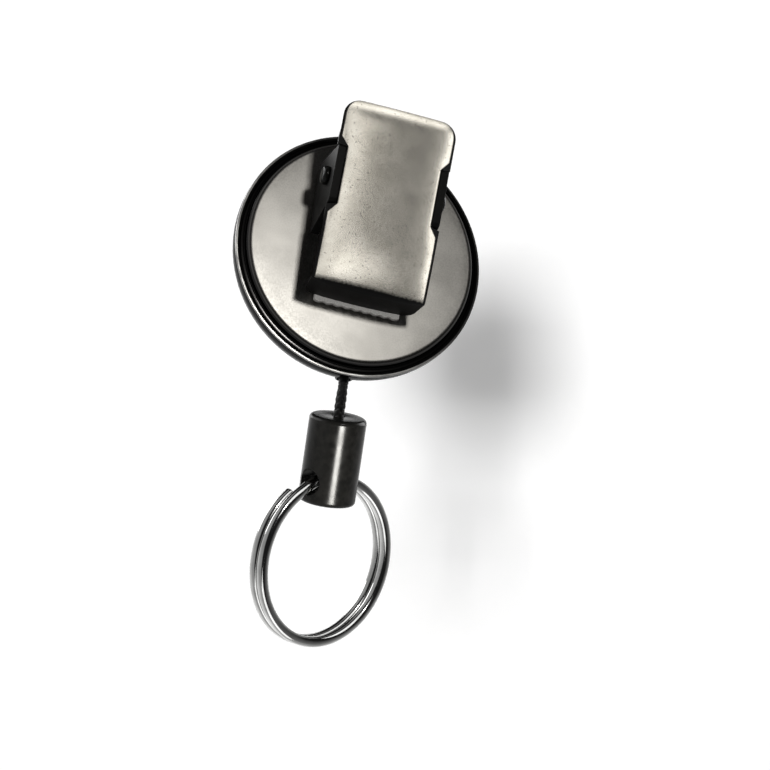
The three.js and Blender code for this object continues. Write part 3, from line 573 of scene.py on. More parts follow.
def new_material(name):
    material = bpy.data.materials.new(name)
    material.use_nodes = True
    tree = material.node_tree
    shader = tree.nodes["Principled BSDF"]
    coords = tree.nodes.new("ShaderNodeTexCoord").outputs["Object"]
    return material, shader, coords


def calc(operation, *values):
    """One step of arithmetic with sockets and numbers."""
    return node("Math", dict(enumerate(values)), operation=operation)


def reach(vector, way):
    """How far a vector reaches in a direction."""
    inputs = {0: vector, 1: tuple(way)}
    return node("VectorMath", inputs, "Value", operation="DOT_PRODUCT")


def size_of(vector):
    return node("VectorMath", {0: vector}, "Value", operation="LENGTH")


def axis_distance(coords):
    """The distance from the axis of the case."""
    return size_of(node("VectorMath", {0: coords, 1: (1, 0, 1)}, operation="MULTIPLY"))


def noise(coords, size_mm, detail=2.0, stretch=None):
    """Noise whose features are about size_mm across; stretch scales the three axes."""
    if stretch:
        coords = node("Mapping", {"Vector": coords, "Scale": stretch})
    inputs = {"Vector": coords, "Scale": 1 / (size_mm * MM), "Detail": detail}
    return node("TexNoise", inputs)


def remap(value, low, high, start=0.35, end=0.65):
    """Goes from low to high as a value goes from start to end, where most noise lies."""
    inputs = {"Value": value, "From Min": start, "From Max": end, "To Min": low, "To Max": high}
    return node("MapRange", inputs)


def fade(value, start, end, low=0, high=1):
    """Goes from low to high between two places in millimetres."""
    return remap(value, low, high, start * MM, end * MM)


def grey(value):
    return (value, value, value)


def blend_colours(share, first, second):
    first, second = ((*end, 1) if isinstance(end, tuple) else end for end in (first, second))
    return node("Mix", {0: share, 6: first, 7: second}, output=2, data_type="RGBA")


def blend_values(share, first, second):
    return node("Mix", {0: share, 2: first, 3: second}, data_type="FLOAT")


def shade(pattern, dark, light):
    """A colour between dark and light that follows a noise pattern."""
    return blend_colours(remap(pattern, 0, 1), dark, light)


def relief(shader, height, depth_mm, strength=0.6):
    inputs = {"Height": height, "Distance": depth_mm * MM, "Strength": strength}
    feed(shader, {"Normal": node("Bump", inputs)})


def grained(coords, dark, light, grain_mm, blotch_mm, grain_share):
    """The grain of blasted metal, and a colour that follows it and wider blotches."""
    grain = noise(coords, grain_mm, detail=3.0)
    tone = blend_values(grain_share, noise(coords, blotch_mm), grain)
    return grain, shade(tone, dark, light)


def clip_way(*local):
    """A direction of the clip's frame, in the row frame."""
    return (CLIP.to_3x3() @ Vector(local)).normalized()


# Finishes
def satin_metal(name, dark, light, roughness):
    """Blasted plated metal: fine grain and faint blotches."""
    material, shader, coords = new_material(name)
    grain, colour = grained(coords, dark, light, grain_mm=0.18, blotch_mm=5.0, grain_share=0.45)
    rough = remap(grain, roughness - 0.05, roughness + 0.07)
    feed(shader, {"Base Color": colour, "Roughness": rough, "Metallic": 1.0})
    relief(shader, grain, depth_mm=0.006)
    return material


def lever_lip_shade(coords):
    """Painted shade: 1 below a ragged line near the lip, and on all that doesn't face outwards; else 0."""
    ragged = calc("MULTIPLY", noise(coords, size_mm=0.35), LIP_SHADE_RAGGED * MM)
    height = calc("ADD", reach(coords, clip_way(0, 0, 1)), ragged)
    lip = fade(height, *(JAW_CORNER.y + rise for rise in LIP_SHADE))
    outward = reach(coords.node.outputs["Normal"], clip_way(0, *-LEVER_IN))
    return calc("MAXIMUM", lip, remap(outward, 1, 0, *SIDE_SHADE_FACING))


def lever_border_shade(coords):
    """Painted shade: 1 along the lever's sides, its notches and its rounded thumb corners; else 0."""
    lengthwise = clip_way(0, *LEVER_UP)
    foot = (CLIP @ Vector((0, *LEVER_FOOT))).dot(lengthwise)
    height = reach(coords, lengthwise)
    notch_half = sum(NOTCH_HALF) / 2
    notch_middle = foot + (NOTCH_HALF[0] - NOTCH_HALF[1]) / 2 * MM
    from_notch = calc("ABSOLUTE", calc("SUBTRACT", height, notch_middle))
    wider = fade(from_notch, notch_half, notch_half + NOTCH_SHADE_FADE, NOTCH_SHADE * MM, 0)
    across = calc("ABSOLUTE", reach(coords, clip_way(1, 0, 0)))
    across = calc("ADD", across, wider)
    corner_x = (LEVER_HALF - THUMB_CORNER) * MM
    corner_z = foot + (THUMB_ARM - THUMB_CORNER) * MM
    past_x = calc("MAXIMUM", calc("SUBTRACT", across, corner_x), 0)
    past_z = calc("MAXIMUM", calc("SUBTRACT", height, corner_z), 0)
    from_corner = size_of(node("CombineXYZ", {0: past_x, 1: calc("MULTIPLY", past_z, BORDER_SHADE_TOP)}))
    return fade(from_corner, *(THUMB_CORNER - inset for inset in BORDER_SHADE))


def lever_finish(name, dark, light, roughness):
    """Satin metal with dark specks, and painted shade: black at its lip, on its other faces and along its
    border.
    """
    material, shader, coords = new_material(name)
    grain, satin = grained(coords, dark, light, grain_mm=0.22, blotch_mm=4.0, grain_share=0.3)
    specks = remap(noise(coords, size_mm=0.3, detail=1.0), 0, 1, start=0.63, end=0.78)
    satin = blend_colours(specks, satin, (0.22, 0.205, 0.18))
    satin_rough = remap(grain, roughness - 0.004, roughness + 0.006)
    # Painted shade: near-black colour on the lip, the side faces and the border
    black = calc("MAXIMUM", lever_lip_shade(coords), lever_border_shade(coords))
    feed(shader, {
        "Base Color": blend_colours(black, satin, (0.007, 0.0067, 0.0064)),
        "Roughness": blend_values(black, satin_rough, 0.5),
        "Metallic": blend_values(black, 1.0, 0.0),
        "Specular IOR Level": 0.12,
    })
    relief(shader, grain, depth_mm=0.0001)
    return material


def base_shaded_finish(name, dark, light):
    """Satin sheet steel on its tongue, painted dark as shade everywhere else."""
    material, shader, coords = new_material(name)
    grain = noise(coords, size_mm=0.22, detail=3.0)
    height = reach(coords, clip_way(0, 0, 1))
    tongue = fade(height, *(JAW_CORNER.y + rise for rise in TONGUE_UNSHADED))
    satin = shade(grain, dark, light)
    plain_rough = remap(grain, 0.46, 0.56)
    feed(shader, {
        # Painted shade: dark colour away from the tongue, where the base lies under the lever
        "Base Color": blend_colours(tongue, (0.04, 0.039, 0.037), satin),
        "Roughness": blend_values(tongue, plain_rough, 0.78),
        "Metallic": 1.0,
    })
    relief(shader, grain, depth_mm=0.005)
    return material


def pan_finish(name, dark, light):
    """Satin metal on the flat of the pan, and painted shade on its rolled shoulder: dark gloss metal."""
    material, shader, coords = new_material(name)
    grain, satin = grained(coords, dark, light, grain_mm=0.25, blotch_mm=6.0, grain_share=0.4)
    shoulder = fade(axis_distance(coords), SHOULDER_SHADE_RADIUS - SHOULDER_SHADE_FADE, SHOULDER_SHADE_RADIUS + SHOULDER_SHADE_FADE)
    satin_rough = remap(grain, 0.37, 0.44)
    feed(shader, {
        # Painted shade: near-black colour on the rolled shoulder
        "Base Color": blend_colours(shoulder, satin, (0.035, 0.034, 0.034)),
        "Roughness": blend_values(shoulder, satin_rough, 0.16),
        "Metallic": 1.0,
    })
    relief(shader, grain, depth_mm=0.0012)
    return material


def patterned(name, dark, light, rough, extra, depth_mm, strength=0.3, **pattern):
    """A material whose colour, roughness and relief all follow one noise pattern."""
    material, shader, coords = new_material(name)
    height = noise(coords, **pattern)
    feed(shader, {"Base Color": shade(height, dark, light), "Roughness": remap(height, *rough)} | extra)
    relief(shader, height, depth_mm, strength)
    return material


def black_enamel(name, dark, light, roughness, gloss):
    """Black enamel with faint orange peel."""
    rough = (roughness - 0.02, roughness + 0.04)
    return patterned(name, dark, light, rough, {"Specular IOR Level": gloss}, depth_mm=0.002, size_mm=1.2)


def cup_finish(name, dark, light):
    """Black enamel, with a painted highlight along the rim: bright plain metal, strongest on the lower left
    and broken up by noise.
    """
    material, shader, coords = new_material(name)
    peel = noise(coords, size_mm=1.2)
    height = node("SeparateXYZ", {0: coords}, "Y")
    rim_y = RIM_Y - RIM_LIP
    # Painted highlight: bright metal along the rim, laid strongest on the lower left where the rim's
    # highlight line falls
    rim_highlight = fade(height, rim_y + 1.5 * RIM_HIGHLIGHT_BAND, rim_y + RIM_HIGHLIGHT_BAND)
    outer = fade(axis_distance(coords), *(CASE_RADIUS - inset for inset in RIM_HIGHLIGHT_INSET))
    highlight_side = fade(reach(coords, RIM_HIGHLIGHT_WAY), *RIM_HIGHLIGHT_SPAN, low=0.12)
    highlight_breaks = remap(noise(coords, size_mm=3.0), 0.55, 1)
    for mask in (outer, highlight_side, highlight_breaks):
        rim_highlight = calc("MULTIPLY", rim_highlight, mask)
    feed(shader, {
        "Base Color": blend_colours(rim_highlight, shade(peel, dark, light), (0.9, 0.89, 0.87)),
        "Roughness": blend_values(rim_highlight, remap(peel, 0.18, 0.24), 0.36),
        "Metallic": rim_highlight,
        "Specular IOR Level": fade(height, *CUP_GLOSS_SPAN, low=0.02, high=0.35),
    })
    relief(shader, peel, depth_mm=0.002, strength=0.3)
    return material


def polished(name, dark, light, roughness):
    """Polished plate with fine rubbed marks."""
    material, shader, coords = new_material(name)
    marks = noise(coords, size_mm=0.12, detail=3.0, stretch=(1, 1, 0.2))
    colour = shade(noise(coords, size_mm=3.0), dark, light)
    rough = remap(marks, roughness - 0.02, roughness + 0.06)
    feed(shader, {"Base Color": colour, "Roughness": rough, "Metallic": 1.0})
    relief(shader, marks, depth_mm=0.002, strength=0.3)
    return material


def braid_fibre(name, dark, light):
    """Polyester yarn: fine lengthwise fibres with a few that shine."""
    fibres = {"size_mm": 0.07, "stretch": (1, 1, 0.25)}
    sheen = {"Sheen Weight": 0.15}
    return patterned(name, dark, light, (0.62, 0.42), sheen, depth_mm=0.02, strength=0.6, **fibres)


def moulded(name, dark, light, roughness):
    """Moulded nylon with a faint mottled surface."""
    rough = (roughness - 0.08, roughness + 0.08)
    return patterned(name, dark, light, rough, {}, depth_mm=0.01, size_mm=0.6, detail=3.0)


BASE_SHADED_STEEL = base_shaded_finish("base_steel", (0.42, 0.41, 0.39), (0.56, 0.55, 0.53))
LEVER_SATIN = lever_finish("lever_satin", (0.445, 0.42, 0.365), (0.565, 0.535, 0.472), 0.26)
# Painted shade: the base's steel ears are given near-black enamel, as dark as the lever's shadow they sit in
EAR_SHADE_BLACK = black_enamel("ear_shade_black", (0.011, 0.011, 0.0105), (0.02, 0.0195, 0.019), 0.42, gloss=0.06)
DARK_STEEL = satin_metal("dark_steel", (0.16, 0.155, 0.15), (0.26, 0.255, 0.25), 0.3)
SPRING_STEEL = polished("spring_steel", (0.28, 0.27, 0.27), (0.4, 0.39, 0.38), 0.22)
CHROME = polished("ring_chrome", (0.62, 0.62, 0.61), (0.78, 0.78, 0.77), 0.08)
PAN = pan_finish("pan_satin", (0.54, 0.525, 0.495), (0.76, 0.74, 0.7))
BLACK = black_enamel("case_black", grey(0.004), grey(0.007), 0.13, gloss=0.3)
CUP = cup_finish("cup_black", grey(0.004), grey(0.007))
BARREL_BLACK = black_enamel("barrel_black", (0.006, 0.006, 0.0057), (0.011, 0.0107, 0.01), 0.22, gloss=0.2)
CORD = braid_fibre("cord_black", grey(0.006), grey(0.03))
WHITE_NYLON = moulded("nylon_white", (0.62, 0.61, 0.57), (0.74, 0.73, 0.69), 0.5)
GREY_NYLON = moulded("nylon_grey", (0.09, 0.09, 0.1), (0.15, 0.15, 0.16), 0.5)


# Case
def front_cover():
    """A drawn cup with a rounded front and a thin rim."""
    round_x = CASE_RADIUS - FRONT_ROUND
    round_y = FRONT_Y - FRONT_ROUND
    edge_y = RIM_Y - RIM_LIP + RIM_EDGE
    profile = [(0, FRONT_Y), *arc(round_x, round_y, FRONT_ROUND, QUARTER, 0, 2 * ARC_STEPS)]
    profile += arc(CASE_RADIUS - RIM_EDGE, edge_y + RIM_SLOPE, RIM_EDGE, 0, -QUARTER, EDGE_STEPS)
    profile += arc(CASE_RADIUS - CASE_WALL + RIM_EDGE, edge_y, RIM_EDGE, -QUARTER, -pi, EDGE_STEPS)
    profile += [*arc(round_x, round_y, FRONT_ROUND - CASE_WALL, 0, QUARTER), (0, FRONT_Y - CASE_WALL)]
    cup = revolve("front_cover_cup", profile)
    cut(cup, bar("z", CUP_HOLE, (0, OUTLET.y, -CASE_RADIUS), NOZZLE_CUT))
    finish_edges(cup)
    dress(cup, CUP, "case", "case_black", "front_cover")


def back_cover():
    """A domed pan that stands out of the rim, with a skirt inside the cup."""
    round_x = PAN_SIDE - PAN_ROUND
    round_y = PAN_Y + PAN_DOME + PAN_ROUND
    skirt_inside = SKIRT_RADIUS - CASE_WALL
    skirt_end = RIM_Y + SKIRT_DEPTH
    ledge = RIM_Y + CASE_WALL
    rings = [PIVOT_BORE + (round_x - PIVOT_BORE) * i / PAN_RINGS for i in range(PAN_RINGS)]
    profile = [(r, PAN_Y + PAN_DOME * (r / round_x) ** 2) for r in rings]
    profile += arc(round_x, round_y, PAN_ROUND, -QUARTER, 0)
    profile += arc(PAN_SIDE + PAN_FOLD, RIM_Y - PAN_FOLD, PAN_FOLD, pi, QUARTER, steps=3)
    profile += [(SKIRT_RADIUS, RIM_Y), (SKIRT_RADIUS, skirt_end), (skirt_inside, skirt_end)]
    profile += [(skirt_inside, ledge), (PAN_SIDE - CASE_WALL, ledge)]
    profile += [*arc(round_x, round_y, PAN_ROUND - CASE_WALL, 0, -QUARTER), (PIVOT_BORE, PAN_Y + CASE_WALL)]
    pan = revolve("back_cover_pan", profile)
    cut(pan, bar("z", PAN_HOLE, (0, OUTLET.y, -CASE_RADIUS), NOZZLE_CUT))
    finish_edges(pan)
    dress(pan, PAN, "case", "satin_steel", "back_cover")


def outlet_bushing():
    """A short nozzle with a rounded mouth."""
    inner_end = -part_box("outlet_bushing")[1].z / MM
    outer_end = CASE_RADIUS + NOZZLE_PROUD
    edge_y = outer_end - NOZZLE_EDGE
    profile = [(NOZZLE_RADIUS, inner_end), (CORD_BORE, inner_end)]
    profile += arc(CORD_BORE + NOZZLE_EDGE, edge_y, NOZZLE_EDGE, pi, QUARTER)
    profile += arc(NOZZLE_RADIUS - NOZZLE_EDGE, edge_y, NOZZLE_EDGE, QUARTER, 0)
    place = ROW @ Matrix.Translation((0, OUTLET.y, 0)) @ Matrix.Rotation(-QUARTER, 4, "X")
    nozzle = revolve("outlet_nozzle", profile, place, SMALL_ROUND)
    finish_edges(nozzle)
    dress(nozzle, BLACK, "case", "case_black", "outlet_bushing")


def swivel_rivet():
    """The rivet that holds the clip on the case."""
    low, high = (corner.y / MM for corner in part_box("swivel_rivet"))
    profile = [(0, low), *arc(RIVET_HEAD - RIVET_EDGE, low + RIVET_EDGE, RIVET_EDGE, -QUARTER, 0)]
    profile += [(RIVET_HEAD, RIVET_SEAT), (RIVET_RADIUS, RIVET_SEAT), (RIVET_RADIUS, high), (0, high)]
    rivet = revolve("swivel_rivet_head", profile, ROW, SMALL_ROUND)
    finish_edges(rivet)
    dress(rivet, DARK_STEEL, "case", "dark_steel", "swivel_rivet")


def swivel_washer():
    """The washer between the clip and the case."""
    low, high = (corner.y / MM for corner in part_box("swivel_washer"))
    profile = [(PIVOT_BORE, low), (WASHER_RADIUS, low), (WASHER_RADIUS, high), (PIVOT_BORE, high)]
    washer = revolve("swivel_washer_ring", profile, ROW, SMALL_ROUND)
    finish_edges(washer, width=0.08)
    dress(washer, GREY_NYLON, "case", "nylon_grey", "swivel_washer")


def inner_parts():
    """Finishes of the pieces inside the case that keep their CAD shape."""
    set_material(frame["nodes"]["arbor"], DARK_STEEL)
    set_material(frame["nodes"]["spool"], WHITE_NYLON)
    set_material(frame["nodes"]["spool_cap"], WHITE_NYLON)
    set_material(frame["nodes"]["thrust_washer"], GREY_NYLON)


# Belt clip
def notch(s, ease_above, ease_below):
    """How far into the notch at the hinge a distance s from the thumb end is, from 0 to 1."""
    above, below = NOTCH_HALF
    inside = smooth((s - THUMB_ARM + above + ease_above) / ease_above)
    return inside - smooth((s - THUMB_ARM - below) / ease_below)


def corner_cut(radius, left):
    """How much a rounded corner takes off a side at a distance left from the end."""
    left = min(left, radius)
    return radius - sqrt(max(0, radius ** 2 - (radius - left) ** 2))


def lever_half_width(s):
    """Half the lever's width at a distance s from the thumb end."""
    half = LEVER_HALF - corner_cut(THUMB_CORNER, s) - NOTCH_DEPTH * notch(s, *NOTCH_EASE)
    lip_from = PLATE_END + LIP_BEND
    if s > lip_from:
        share = (s - lip_from) / (LEVER_END - lip_from)
        half -= (LEVER_HALF - LIP_TIP_HALF) * share ** LIP_TAPER + corner_cut(LIP_CORNER, LEVER_END - s)
    return half


def lever_station(s):
    """A place on the lever's face and its outward direction."""
    if s <= PLATE_END:
        return THUMB_END - LEVER_UP * s, -LEVER_IN
    if s <= BEND_END:
        angle = LEVER_TILT + (s - PLATE_END) / LIP_BEND
        out = -Vector((cos(angle), sin(angle)))
        return BEND_CENTRE + out * LIP_BEND, out
    return Vector((BEND_CENTRE.x + s - BEND_END, JAW_CORNER.y)), Vector((0, -1))


def lever_fall(s):
    """How far the face has rolled down towards the lip."""
    run = clamp(1 - (PLATE_END - s) / LEVER_FALL_LENGTH)
    turn = clamp((s - PLATE_END) / BEND_LENGTH)
    return LEVER_FALL * (LEVER_FALL_LENGTH * run ** 3 / 3 + BEND_LENGTH * (turn - turn ** 2 / 2))


def lever_sink(x, s):
    """How far the bow, the rolled sides, the tip and the fall draw the face in."""
    roll_half = LEVER_HALF - LEVER_ROLL_NOTCH * NOTCH_DEPTH * notch(s, LEVER_ROLL_EASE, LEVER_ROLL_EASE)
    roll = LEVER_ROLL * min(1, abs(x) / roll_half) ** LEVER_ROLL_POWER
    bow = LEVER_BOW * (x / LEVER_HALF) ** 2 + roll
    bow *= LIP_BOW + (1 - LIP_BOW) * smooth((PLATE_END - s) / LIP_BOW_LENGTH)
    tip = LEVER_TIP * max(0, 1 - s / LEVER_TIP_LENGTH) ** 3
    return bow + tip + lever_fall(s) - LEVER_CROWN


def lever_rows():
    """Distances from the thumb end, closer together where the outline or the face turns."""
    rows = [THUMB_CORNER * (1 - cos(QUARTER * share)) for share in shares(THUMB_ROWS)]
    rows += [THUMB_CORNER + (PLATE_END - THUMB_CORNER) * share for share in shares(FACE_ROWS)[1:]]
    rows += [PLATE_END + BEND_LENGTH * share for share in shares(BEND_ROWS)[1:]]
    rows += [BEND_END + (LEVER_END - BEND_END) * sin(QUARTER * share) for share in shares(LIP_ROWS)[1:]]
    return rows


def lever_plate():
    """The lever's outer face as a bowed grid, thickened inwards."""
    rows = lever_rows()
    vertices = []
    for s in rows:
        point, out = lever_station(s)
        half = lever_half_width(s)
        for share in shares(LEVER_COLUMNS):
            side = 2 * share - 1
            x = copysign(abs(side) ** COLUMN_CROWDING, side) * half
            place = point - out * lever_sink(x, s)
            vertices.append((x, place.x, place.y))
    plate = mesh_from("clip_lever_plate", vertices, quads(len(rows), LEVER_COLUMNS + 1, closed=False), CLIP)
    faces = plate.data.polygons
    if faces[len(faces) // 2].normal.dot(clip_way(0, -1, 0)) < 0:
        plate.data.flip_normals()
    thick = plate.modifiers.new("sheet", "SOLIDIFY")
    thick.thickness = SHEET * MM
    thick.offset = -1
    thick.use_even_offset = True
    apply_modifiers(plate)
    return plate


def ear_outline(root, root_half, root_way, top, top_half, corner):
    """The side of an ear: its root, and a top edge along the lever with rounded corners."""
    corners = [(*(root - root_way * root_half[1]), 0), (*(root + root_way * root_half[0]), 0)]
    corners += [(*(top + LEVER_UP * top_half[0]), corner[0]), (*(top - LEVER_UP * top_half[1]), corner[1])]
    return rounded(corners)


def pin_ears(outline, inside, outside):
    """Two ears, one on each side, with a hole for the hinge pin."""
    ears = []
    for low, high in ((inside, outside), (-outside, -inside)):
        ear = prism("ear", outline, "x", low, high, CLIP)
        cut(ear, bar("x", PIN_HOLE, (0, *HINGE), 4 * LEVER_HALF, CLIP))
        ears.append(ear)
    return ears


def clip_lever():
    """The lever's plate, and the ears that hang it on the hinge pin."""
    root = LEVER_FOOT + LEVER_IN * (SHEET * LEVER_EAR_SUNK + LEVER_BOW)
    end = HINGE + LEVER_IN * LEVER_EAR_ROUND
    halves = [(half, half) for half in (LEVER_EAR_HALF, LEVER_EAR_ROUND, LEVER_EAR_CORNER)]
    outline = ear_outline(root, halves[0], LEVER_UP, end, *halves[1:])
    parts = [lever_plate(), *pin_ears(outline, *LEVER_EAR)]
    for part in parts:
        finish_edges(part, width=0.2, segments=3, angle=LEVER_SHARP)
    dress(join("clip_lever_plate", parts), LEVER_SATIN, "lever", "satin_steel", "clip_lever")


def base_outline():
    """A toothed jaw end, a tongue, and a wider part that carries the ears."""
    pitch = 2 * TONGUE_HALF / TOOTH_COUNT
    tooth_root = JAW_CORNER.y + TOOTH_DEPTH
    shoulder = HINGE.y - BASE_HALF
    top = HINGE.y + BASE_HALF
    wide = BASE_EAR[1]
    corners = []
    for i in range(TOOTH_COUNT):
        corners.append((-TONGUE_HALF + pitch * i, tooth_root, 0))
        corners.append((-TONGUE_HALF + pitch * (i + 0.5), JAW_CORNER.y, TOOTH_ROUND))
    corners += [
        (TONGUE_HALF, tooth_root, 0), (TONGUE_HALF, shoulder - SHEET, TONGUE_CORNER),
        (wide, shoulder, SHOULDER_CORNER), (wide, top, BASE_CORNER),
        (-wide, top, BASE_CORNER), (-wide, shoulder, SHOULDER_CORNER),
        (-TONGUE_HALF, shoulder - SHEET, TONGUE_CORNER),
    ]
    return rounded(corners, EDGE_STEPS)


def clip_base():
    """The toothed base plate, with two ears bent up from its sides."""
    base = prism("clip_base_plate", base_outline(), "y", 0, SHEET, CLIP)
    root = Vector((SHEET / 2, HINGE.y))
    top = LEVER_FOOT + LEVER_IN * BASE_EAR_INSET
    outline = ear_outline(root, BASE_EAR_ROOT, Vector((0, 1)), top, BASE_EAR_TOP, BASE_EAR_CORNER)
    ears = pin_ears(outline, *BASE_EAR)
    for ear in ears:
        finish_edges(ear, width=0.3, segments=4)
    dress(join("clip_base_ears", ears), EAR_SHADE_BLACK, "clip", "dark_steel", "clip_base")
    cut(base, bar("y", PIVOT_BORE, (0, SHEET / 2, 0), 4 * SHEET, CLIP))
    finish_edges(base, width=0.12)
    dress(base, BASE_SHADED_STEEL, "clip", "dark_steel", "clip_base")


def hinge_pin():
    """The pin through all four ears, with a domed head at each end."""
    shank = BASE_EAR[1] + PIN_PLAY
    end = shank + PIN_HEAD_LENGTH
    head = [(0, end), *arc(PIN_HEAD_RADIUS - PIN_HEAD_EDGE, end - PIN_HEAD_EDGE, PIN_HEAD_EDGE, QUARTER, 0)]
    head += [(PIN_HEAD_RADIUS, shank), (PIN_RADIUS, shank)]
    profile = head + [(radius, -x) for radius, x in reversed(head)]
    place = CLIP @ Matrix.Translation((0, *HINGE)) @ Matrix.Rotation(-QUARTER, 4, "Z")
    pin = revolve("hinge_pin_heads", profile, place, SMALL_ROUND)
    finish_edges(pin, width=0.06)
    # Painted shade: the dark-steel pin is given the barrel's near-black, as dark as the shadow it sits in
    dress(pin, BARREL_BLACK, "clip", "dark_steel", "hinge_pin")


def clip_spring():
    """A coil on the hinge pin, with one leg on the base and one under the lever."""
    seat = WIRE / 2 + SPRING_SEAT
    base_end = Vector((BASE_LEG, seat + HINGE.x))
    lever_end = -LEVER_IN * (LEVER_STANDOFF - seat) + LEVER_UP * LEVER_LEG
    lever_end = Vector((lever_end.y, -lever_end.x))
    start = atan2(base_end.y, base_end.x) - acos(COIL_RADIUS / base_end.length)
    end = atan2(lever_end.y, lever_end.x) + acos(COIL_RADIUS / lever_end.length)
    turned = TURN * COIL_TURNS - (end - start) % TURN
    width = COIL_PITCH * turned / TURN

    def at(x, flat):
        return Vector((x, HINGE.x - flat.y, HINGE.y + flat.x))

    coil = []
    for share in shares(COIL_TURNS * COIL_STEPS):
        angle = start - turned * share
        flat = Vector((cos(angle), sin(angle))) * COIL_RADIUS
        coil.append(at(width * (share - 0.5), flat))
    first = at(-width / 2, base_end)
    last = at(width / 2, lever_end)
    path = [first, first.lerp(coil[0], 0.9), *coil, coil[-1].lerp(last, 0.1), last]
    spring = sweep("clip_spring_coil", path, round_section(WIRE / 2, WIRE_SIDES), CLIP, across=(1, 0, 0))
    finish_edges(spring)
    dress(spring, SPRING_STEEL, None, "spring_steel", "clip_spring")
    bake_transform(spring)


# Mainspring and wound cord inside the case
def mainspring():
    """A flat spiral strip, held in the arbor's slot and hooked into the spool."""
    low, high = (corner.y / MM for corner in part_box("mainspring"))
    middle = (low + high) / 2
    inner, outer = SPIRAL
    start = asin(STRIP_PITCH / inner)
    turns = floor((outer - inner) / STRIP_PITCH) + (pi - start - HOOK_ANGLE) / TURN
    bend_x = inner * cos(start) - STRIP_PITCH
    flat = [(-SLOT_HALF, 0), (SLOT_HALF, 0)]
    flat += arc(bend_x, STRIP_PITCH, STRIP_PITCH, -QUARTER, 0, steps=5)[:-1]
    for share in shares(int(turns * STRIP_STEPS)):
        angle = start + TURN * turns * share
        radius = inner + (outer - inner) * share
        flat.append((radius * cos(angle), radius * sin(angle)))
    flat += [(-HOOK[0], STRIP), (-HOOK[1], -STRIP / 2)]
    path = [Vector((x, middle, z)) for x, z in flat]
    spring = sweep("mainspring_strip", path, flat_section(STRIP, high - low, STRIP_CORNER))
    finish_edges(spring)
    dress(spring, SPRING_STEEL, "spool", "spring_steel", "mainspring")


def cord_inner_layers():
    """The inner layers of the wound cord, with their outermost turns as crests."""
    low, high = (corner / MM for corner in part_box("cord_inner_layers"))
    depth = (high.x - WOUND_INSIDE) / (2 * WOUND_LAYERS)
    side = high.x - depth
    profile = [(WOUND_INSIDE, low.y), (side, low.y)]
    for share in WOUND_CRESTS:
        profile += arc(side, low.y + (high.y - low.y) * share, depth, -CREST_ARC, CREST_ARC, steps=6)
    profile += [(side, high.y), (WOUND_INSIDE, high.y)]
    inner = revolve("cord_inner_winding", profile)
    finish_edges(inner)
    dress(inner, CORD, "spool", "cord_black", "cord_inner_layers")


def cord_outer_layer():
    """The outer layer of the wound cord, which crosses the spool once."""
    path = [LEAVE_POINT + LEAVE_WAY * OUTER_TAIL]
    for share in shares(OUTER_STEPS):
        turn = OUTER_TURNS * share
        angle = LEAVE_ANGLE + TURN * turn
        y = OUTER_Y - OUTER_PITCH * smooth((turn - CROSSING_FROM) / CROSSING_SPAN)
        path.append(Vector((OUTER_RADIUS * cos(angle), y, OUTER_RADIUS * sin(angle))))
    path.append(path[-1] + (path[-1] - path[-2]).normalized() * OUTER_TAIL)
    outer = sweep("cord_outer_winding", path, round_section(CORD_RADIUS, WIRE_SIDES))
    finish_edges(outer)
    dress(outer, CORD, "spool", "cord_black", "cord_outer_layer")


def cord_lead():
    """The cord from the spool to the outlet, straight and then round one bend."""
    turn = acos(-LEAVE_WAY.z)
    tangent = LEAD_BEND * tan(turn / 2)
    straight = hypot(LEAVE_POINT.x, LEAVE_POINT.z - LEAD_CORNER_Z) - tangent
    path = []
    for share in shares(LEAD_STEPS):
        drift = smooth((share - LEAD_DRIFT_FROM) / (1 - LEAD_DRIFT_FROM))
        step = LEAVE_POINT + LEAVE_WAY * (LEAD_FROM + (straight - LEAD_FROM) * share)
        path.append(Vector((step.x, OUTER_Y + (OUTLET.y - OUTER_Y) * drift, step.z)))
    bend = arc(LEAD_BEND, LEAD_CORNER_Z - tangent, LEAD_BEND, pi - turn, pi)[1:]
    path += [Vector((x, OUTLET.y, z)) for x, z in bend]
    path.append(Vector((0, OUTLET.y, OUTLET.z)))
    cord = sweep("cord_lead_run", path, round_section(CORD_RADIUS, WIRE_SIDES))
    finish_edges(cord)
    dress(cord, CORD, "case", "cord_black", "cord_lead")


# What hangs on the cord
def yarn_path(number, low):
    """A yarn's helix. Every second one winds the other way, over and under the rest."""
    hand = 1 if number % 2 else -1
    phase = TURN * (number // 2) / (YARNS / 2) + (pi / YARNS if hand > 0 else 0)
    path = []
    for share in shares(YARN_STEPS):
        z = CORD_TUCK + (low - CORD_TUCK) * share
        angle = phase + hand * TURN * (CORD_TUCK - z) / BRAID_PITCH
        squeeze = 1 - BRAID_SQUEEZE * smooth((z + SQUEEZE_LENGTH) / SQUEEZE_LENGTH)
        lift = (YARN_LIFT + YARN_WEAVE * hand * cos(YARNS / 2 * angle)) * squeeze
        path.append(Vector((lift * cos(angle), lift * sin(angle), z)))
    return path


def cord_stretch():
    """The cord outside the case: a core in a braid of yarns."""
    high = Vector((0, 0, CORD_TUCK))
    low = Vector((0, 0, -CORD_SHOWN - BARREL_ROOF - FERRULE_GAP - FERRULE_SOCKET + CORD_TUCK))
    parts = [sweep("core", [high, low], round_section(CORE_RADIUS, CORE_SIDES), HANG)]
    section = [(x, y * YARN_FLATNESS) for x, y in round_section(YARN_RADIUS, YARN_SIDES)]
    for number in range(YARNS):
        path = yarn_path(number, low.z)
        parts.append(sweep("yarn", path, section, HANG, outward=lambda point: Vector((point.x, point.y, 0))))
    for part in parts:
        finish_edges(part)
    braid = dress(join("cord_stretch_braid", parts), CORD, None, "cord_black", "cord_stretch")
    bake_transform(braid)


